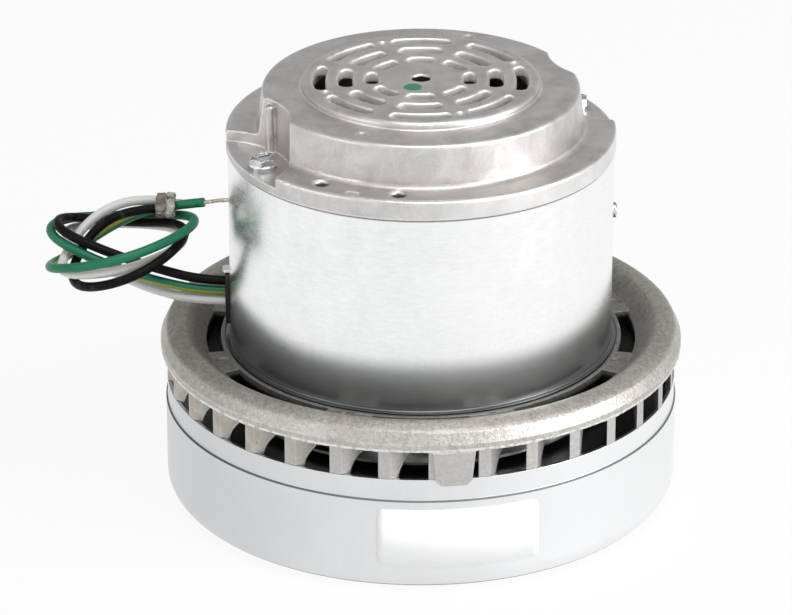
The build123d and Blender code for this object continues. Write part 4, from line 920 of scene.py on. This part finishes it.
flashShape = {"Radius": 0.09272, "Level": 0.05445, "Rag": 0.0005, "FineRag": 1.6, "FineScale": 480.0,
              "BroadScale": 85.0, "Thickness": 0.00026, "Thinnest": 0.35, "SwellFrom": 0.40, "SwellTo": 0.62,
              "Points": 1500, "Sides": 6, "Seed": 4}


def makeFlash(shape):
    grower = Grower("ringFlash", **shape)
    ring = grower.circle("Points", "Radius")
    place = grower.add("GeometryNodeInputPosition", {}, {})
    fine, broad = (
        grower.add("ShaderNodeTexNoise", {"noise_dimensions": "4D"},
                   {"Vector": place, "W": grower.size("Seed"), "Scale": grower.size(scale), "Detail": detail})
        for scale, detail in (("FineScale", 3.0), ("BroadScale", 2.0))
    )
    drop = (fine - 0.5) * grower.size("Rag") * grower.size("FineRag") + (broad - 0.5) * grower.size("Rag")
    lift = grower.add("ShaderNodeCombineXYZ", {}, {2: grower.size("Level") + drop})
    lifted = grower.add("GeometryNodeSetPosition", {}, {0: ring, 3: lift})
    swell = broad.step(grower.size("SwellFrom"), grower.size("SwellTo")) * (1 - grower.size("Thinnest"))
    ridge = grower.add("GeometryNodeCurveToMesh", {},
                       {0: lifted, 1: grower.circle("Sides", "Thickness"), 2: swell + grower.size("Thinnest")})
    placed("ringFlash", grower.build("ringFlash", ridge, "sand"), "sand", "housing")
    print("flash: one ridge of", shape["Points"], "points")


makeFlash(flashShape)


# Thread on the shaft's free end, from its tip to the lock nut

threadShape = {"Radius": 0.00402, "Pitch": 0.00095, "Crest": 0.00030, "Clear": 0.0004, "Steps": 44, "Sides": 4}


def makeThread(shape):
    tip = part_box("shaft")[0][2]
    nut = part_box("lock_nut")[0][2]
    long = nut - (tip + shape["Clear"])
    grower = Grower("shaftThread", **shape, Tip=float(tip), Height=float(long))
    spiral = grower.spiral(grower.size("Height") / grower.size("Pitch"), grower.size("Radius"), grower.size("Height"))
    lift = grower.add("ShaderNodeCombineXYZ", {}, {2: grower.size("Tip") + grower.size("Clear")})
    raised = grower.add("GeometryNodeSetPosition", {}, {0: spiral, 3: lift})
    crest = grower.circle("Sides", "Crest")
    thread = grower.add("GeometryNodeCurveToMesh", {}, {0: raised, 1: crest, 3: True})
    placed("shaftThread", grower.build("shaftThread", thread, "ground"), "ground", "rotor")
    print("thread:", round(long * 1000, 2), "mm long")


makeThread(threadShape)


# Brush springs: closed end turns

springShape = {
    "azimuths": {"rear": 70.0, "front": -110.0},
    "start": 0.03195,
    "end": 0.0467,
    "travel": 0.006,
    "coil": {"Radius": 0.0025, "Wire": 0.00035, "Turns": 8.0, "Closed": 0.09, "Steps": 30, "Sides": 10},
}


def makeSpring(shape, place, azimuth):
    piece = f"brushSpring{place.title()}"
    long = shape["end"] - shape["start"]
    grower = Grower(piece, **shape["coil"], Long=long)
    coil = grower.spiral(grower.size("Turns"), grower.size("Radius"), grower.size("Long"))
    share = grower.add("GeometryNodeSplineParameter", {}, {})
    drawnIn = (share * math.tau).wave("SINE") * grower.size("Closed") * grower.size("Long")
    shift = grower.add("ShaderNodeCombineXYZ", {}, {2: -drawnIn})
    coil = grower.add("GeometryNodeSetPosition", {}, {0: coil, 3: shift})
    wire = grower.circle("Sides", "Wire")
    wound = grower.add("GeometryNodeCurveToMesh", {}, {0: coil, 1: wire, 3: True})
    mesh = grower.build(piece, wound, "ground")
    low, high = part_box(f"brush_spring_{place}")
    angle = math.radians(azimuth)
    outward = Vector((math.cos(angle), math.sin(angle), 0.0))
    level = Vector((0.0, 0.0, (low[2] + high[2]) / 2))
    turned = Matrix.Rotation(angle, 4, "Z") @ Matrix.Rotation(math.pi / 2, 4, "Y")
    mesh.transform(Matrix.Translation(outward * shape["start"] + level) @ turned)
    spring = placed(piece, mesh, "ground", "housing")
    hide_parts(f"brush_spring_{place}")
    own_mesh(spring)


for place, azimuth in springShape["azimuths"].items():
    makeSpring(springShape, place, azimuth)
print("brush springs:", len(springShape["azimuths"]))


# Label: a blank paper plate on the shell's side; start and end are azimuths in degrees

labelShape = {
    "start": -99.6,
    "end": -63.6,
    "low": 0.0098,
    "high": 0.0320,
    "shellRadius": 0.0915,
    "back": 0.00002,
    "stand": 0.00012,
    "corner": 0.0024,
    "columns": 60,
}


def makeLabel(shape):
    radius = shape["shellRadius"] + shape["stand"]
    width = math.radians(shape["end"] - shape["start"]) * radius
    height = shape["high"] - shape["low"]
    columns = shape["columns"]
    vertices, faces = [], []
    for i in range(columns + 1):
        across = width * (1 - math.cos(math.pi * i / columns)) / 2
        inset = shape["corner"] - min(across, width - across)
        cut = shape["corner"] - math.sqrt(max(shape["corner"] ** 2 - max(inset, 0.0) ** 2, 0.0))
        angle = math.radians(shape["start"]) + across / radius
        for level in (shape["low"] + cut, shape["high"] - cut):
            for reach in (radius, shape["shellRadius"] + shape["back"]):
                vertices.append((reach * math.cos(angle), reach * math.sin(angle), level))
    for i in range(columns):
        a, b = i * 4, i * 4 + 4
        faces += [(a, b, b + 2, a + 2), (a + 2, b + 2, b + 3, a + 3),
                  (a + 1, b + 1, b, a), (a + 3, b + 3, b + 1, a + 1)]
    faces += [(0, 2, 3, 1), (columns * 4 + 1, columns * 4 + 3, columns * 4 + 2, columns * 4)]
    front = [i % 4 == 0 and i < columns * 4 for i in range(len(faces))]
    placed("blankLabel", meshOf("blankLabel", vertices, faces, front), "label", "housing")
    print("label: blank,", round(width * 1000, 1), "by", round(height * 1000, 1), "mm")


makeLabel(labelShape)


# Floor, world and lamps: a white studio, a little dimmer behind, above and to the left than in front

studio = {
    "floorSize": 3.0,
    "floorColour": (0.9, 0.9, 0.9, 1),
    "floorGlow": 0.90,
    "white": (1, 1, 1, 1),
    "worldLight": 0.48,
    "dimmed": {"Y": (-0.25, 0.75, 0.36), "Z": (0.05, 0.45, 0.24), "X": (-0.2, -0.9, 0.22)},
    "aim": (0, 0, 0.08),
    "lamps": {
        "rightKey": {"place": (1.35, -0.65, 0.62), "size": 0.9, "power": 17.0},
        "overFront": {"place": (0.15, -0.60, 1.60), "size": 0.9, "power": 9.0},
        "leftFill": {"place": (-1.3, -0.8, 0.8), "size": 0.8, "power": 3.5},
    },
}


class Backdrop(Bench):  # a floor's or world's nodes; seen is 1 for what the camera, mirrors and glass look at
    def __init__(self, tree):
        self.tree = tree
        self.tree.nodes.clear()
        path = self.tree.nodes.new("ShaderNodeLightPath")
        camera, glossy, glass = (
            Signal(self, path.outputs[ray]) for ray in ("Is Camera Ray", "Is Glossy Ray", "Is Transmission Ray")
        )
        self.seen = camera.most(glossy).most(glass)


def makeStudio(settings):
    half = settings["floorSize"]
    mesh = bpy.data.meshes.new("floor")
    mesh.from_pydata([(-half, -half, 0), (half, -half, 0), (half, half, 0), (-half, half, 0)], [], [(0, 1, 2, 3)])
    floor = bpy.data.objects.new("floor", mesh)
    bpy.context.scene.collection.objects.link(floor)
    material = bpy.data.materials.new("paleFloor")
    material.use_nodes = True
    bench = Backdrop(material.node_tree)
    paper = bench.add("ShaderNodeBsdfDiffuse", {}, {"Color": settings["floorColour"]})
    glow = bench.add("ShaderNodeEmission", {}, {"Color": settings["white"], "Strength": 1.0})
    mixed = bench.add("ShaderNodeMixShader", {}, {0: bench.seen * settings["floorGlow"], 1: paper, 2: glow})
    bench.add("ShaderNodeOutputMaterial", {}, {0: mixed})
    mesh.materials.append(material)
    world = bpy.data.worlds.new("studio")
    bpy.context.scene.world = world
    world.use_nodes = True
    bench = Backdrop(world.node_tree)
    toward = bench.add("ShaderNodeTexCoord", {}, {}, "Generated")
    level = settings["worldLight"] + bench.seen * (1 - settings["worldLight"])
    for axis, (low, high, share) in settings["dimmed"].items():
        level = level * (1 - bench.axis(axis, toward).step(low, high) * share)
    sky = bench.add("ShaderNodeBackground", {}, {"Color": settings["white"], "Strength": level})
    bench.add("ShaderNodeOutputWorld", {}, {0: sky})
    for name, lamp in settings["lamps"].items():
        data = bpy.data.lights.new(name, "AREA")
        data.size = lamp["size"]
        data.energy = lamp["power"]
        light = bpy.data.objects.new(name, data)
        light.location = lamp["place"]
        light.rotation_mode = "QUATERNION"
        light.rotation_quaternion = (Vector(settings["aim"]) - Vector(lamp["place"])).to_track_quat("-Z", "Y")
        bpy.context.scene.collection.objects.link(light)
    bpy.context.scene.view_settings.view_transform = "Standard"
    print("studio: floor, world and", len(settings["lamps"]), "lamps")


makeStudio(studio)
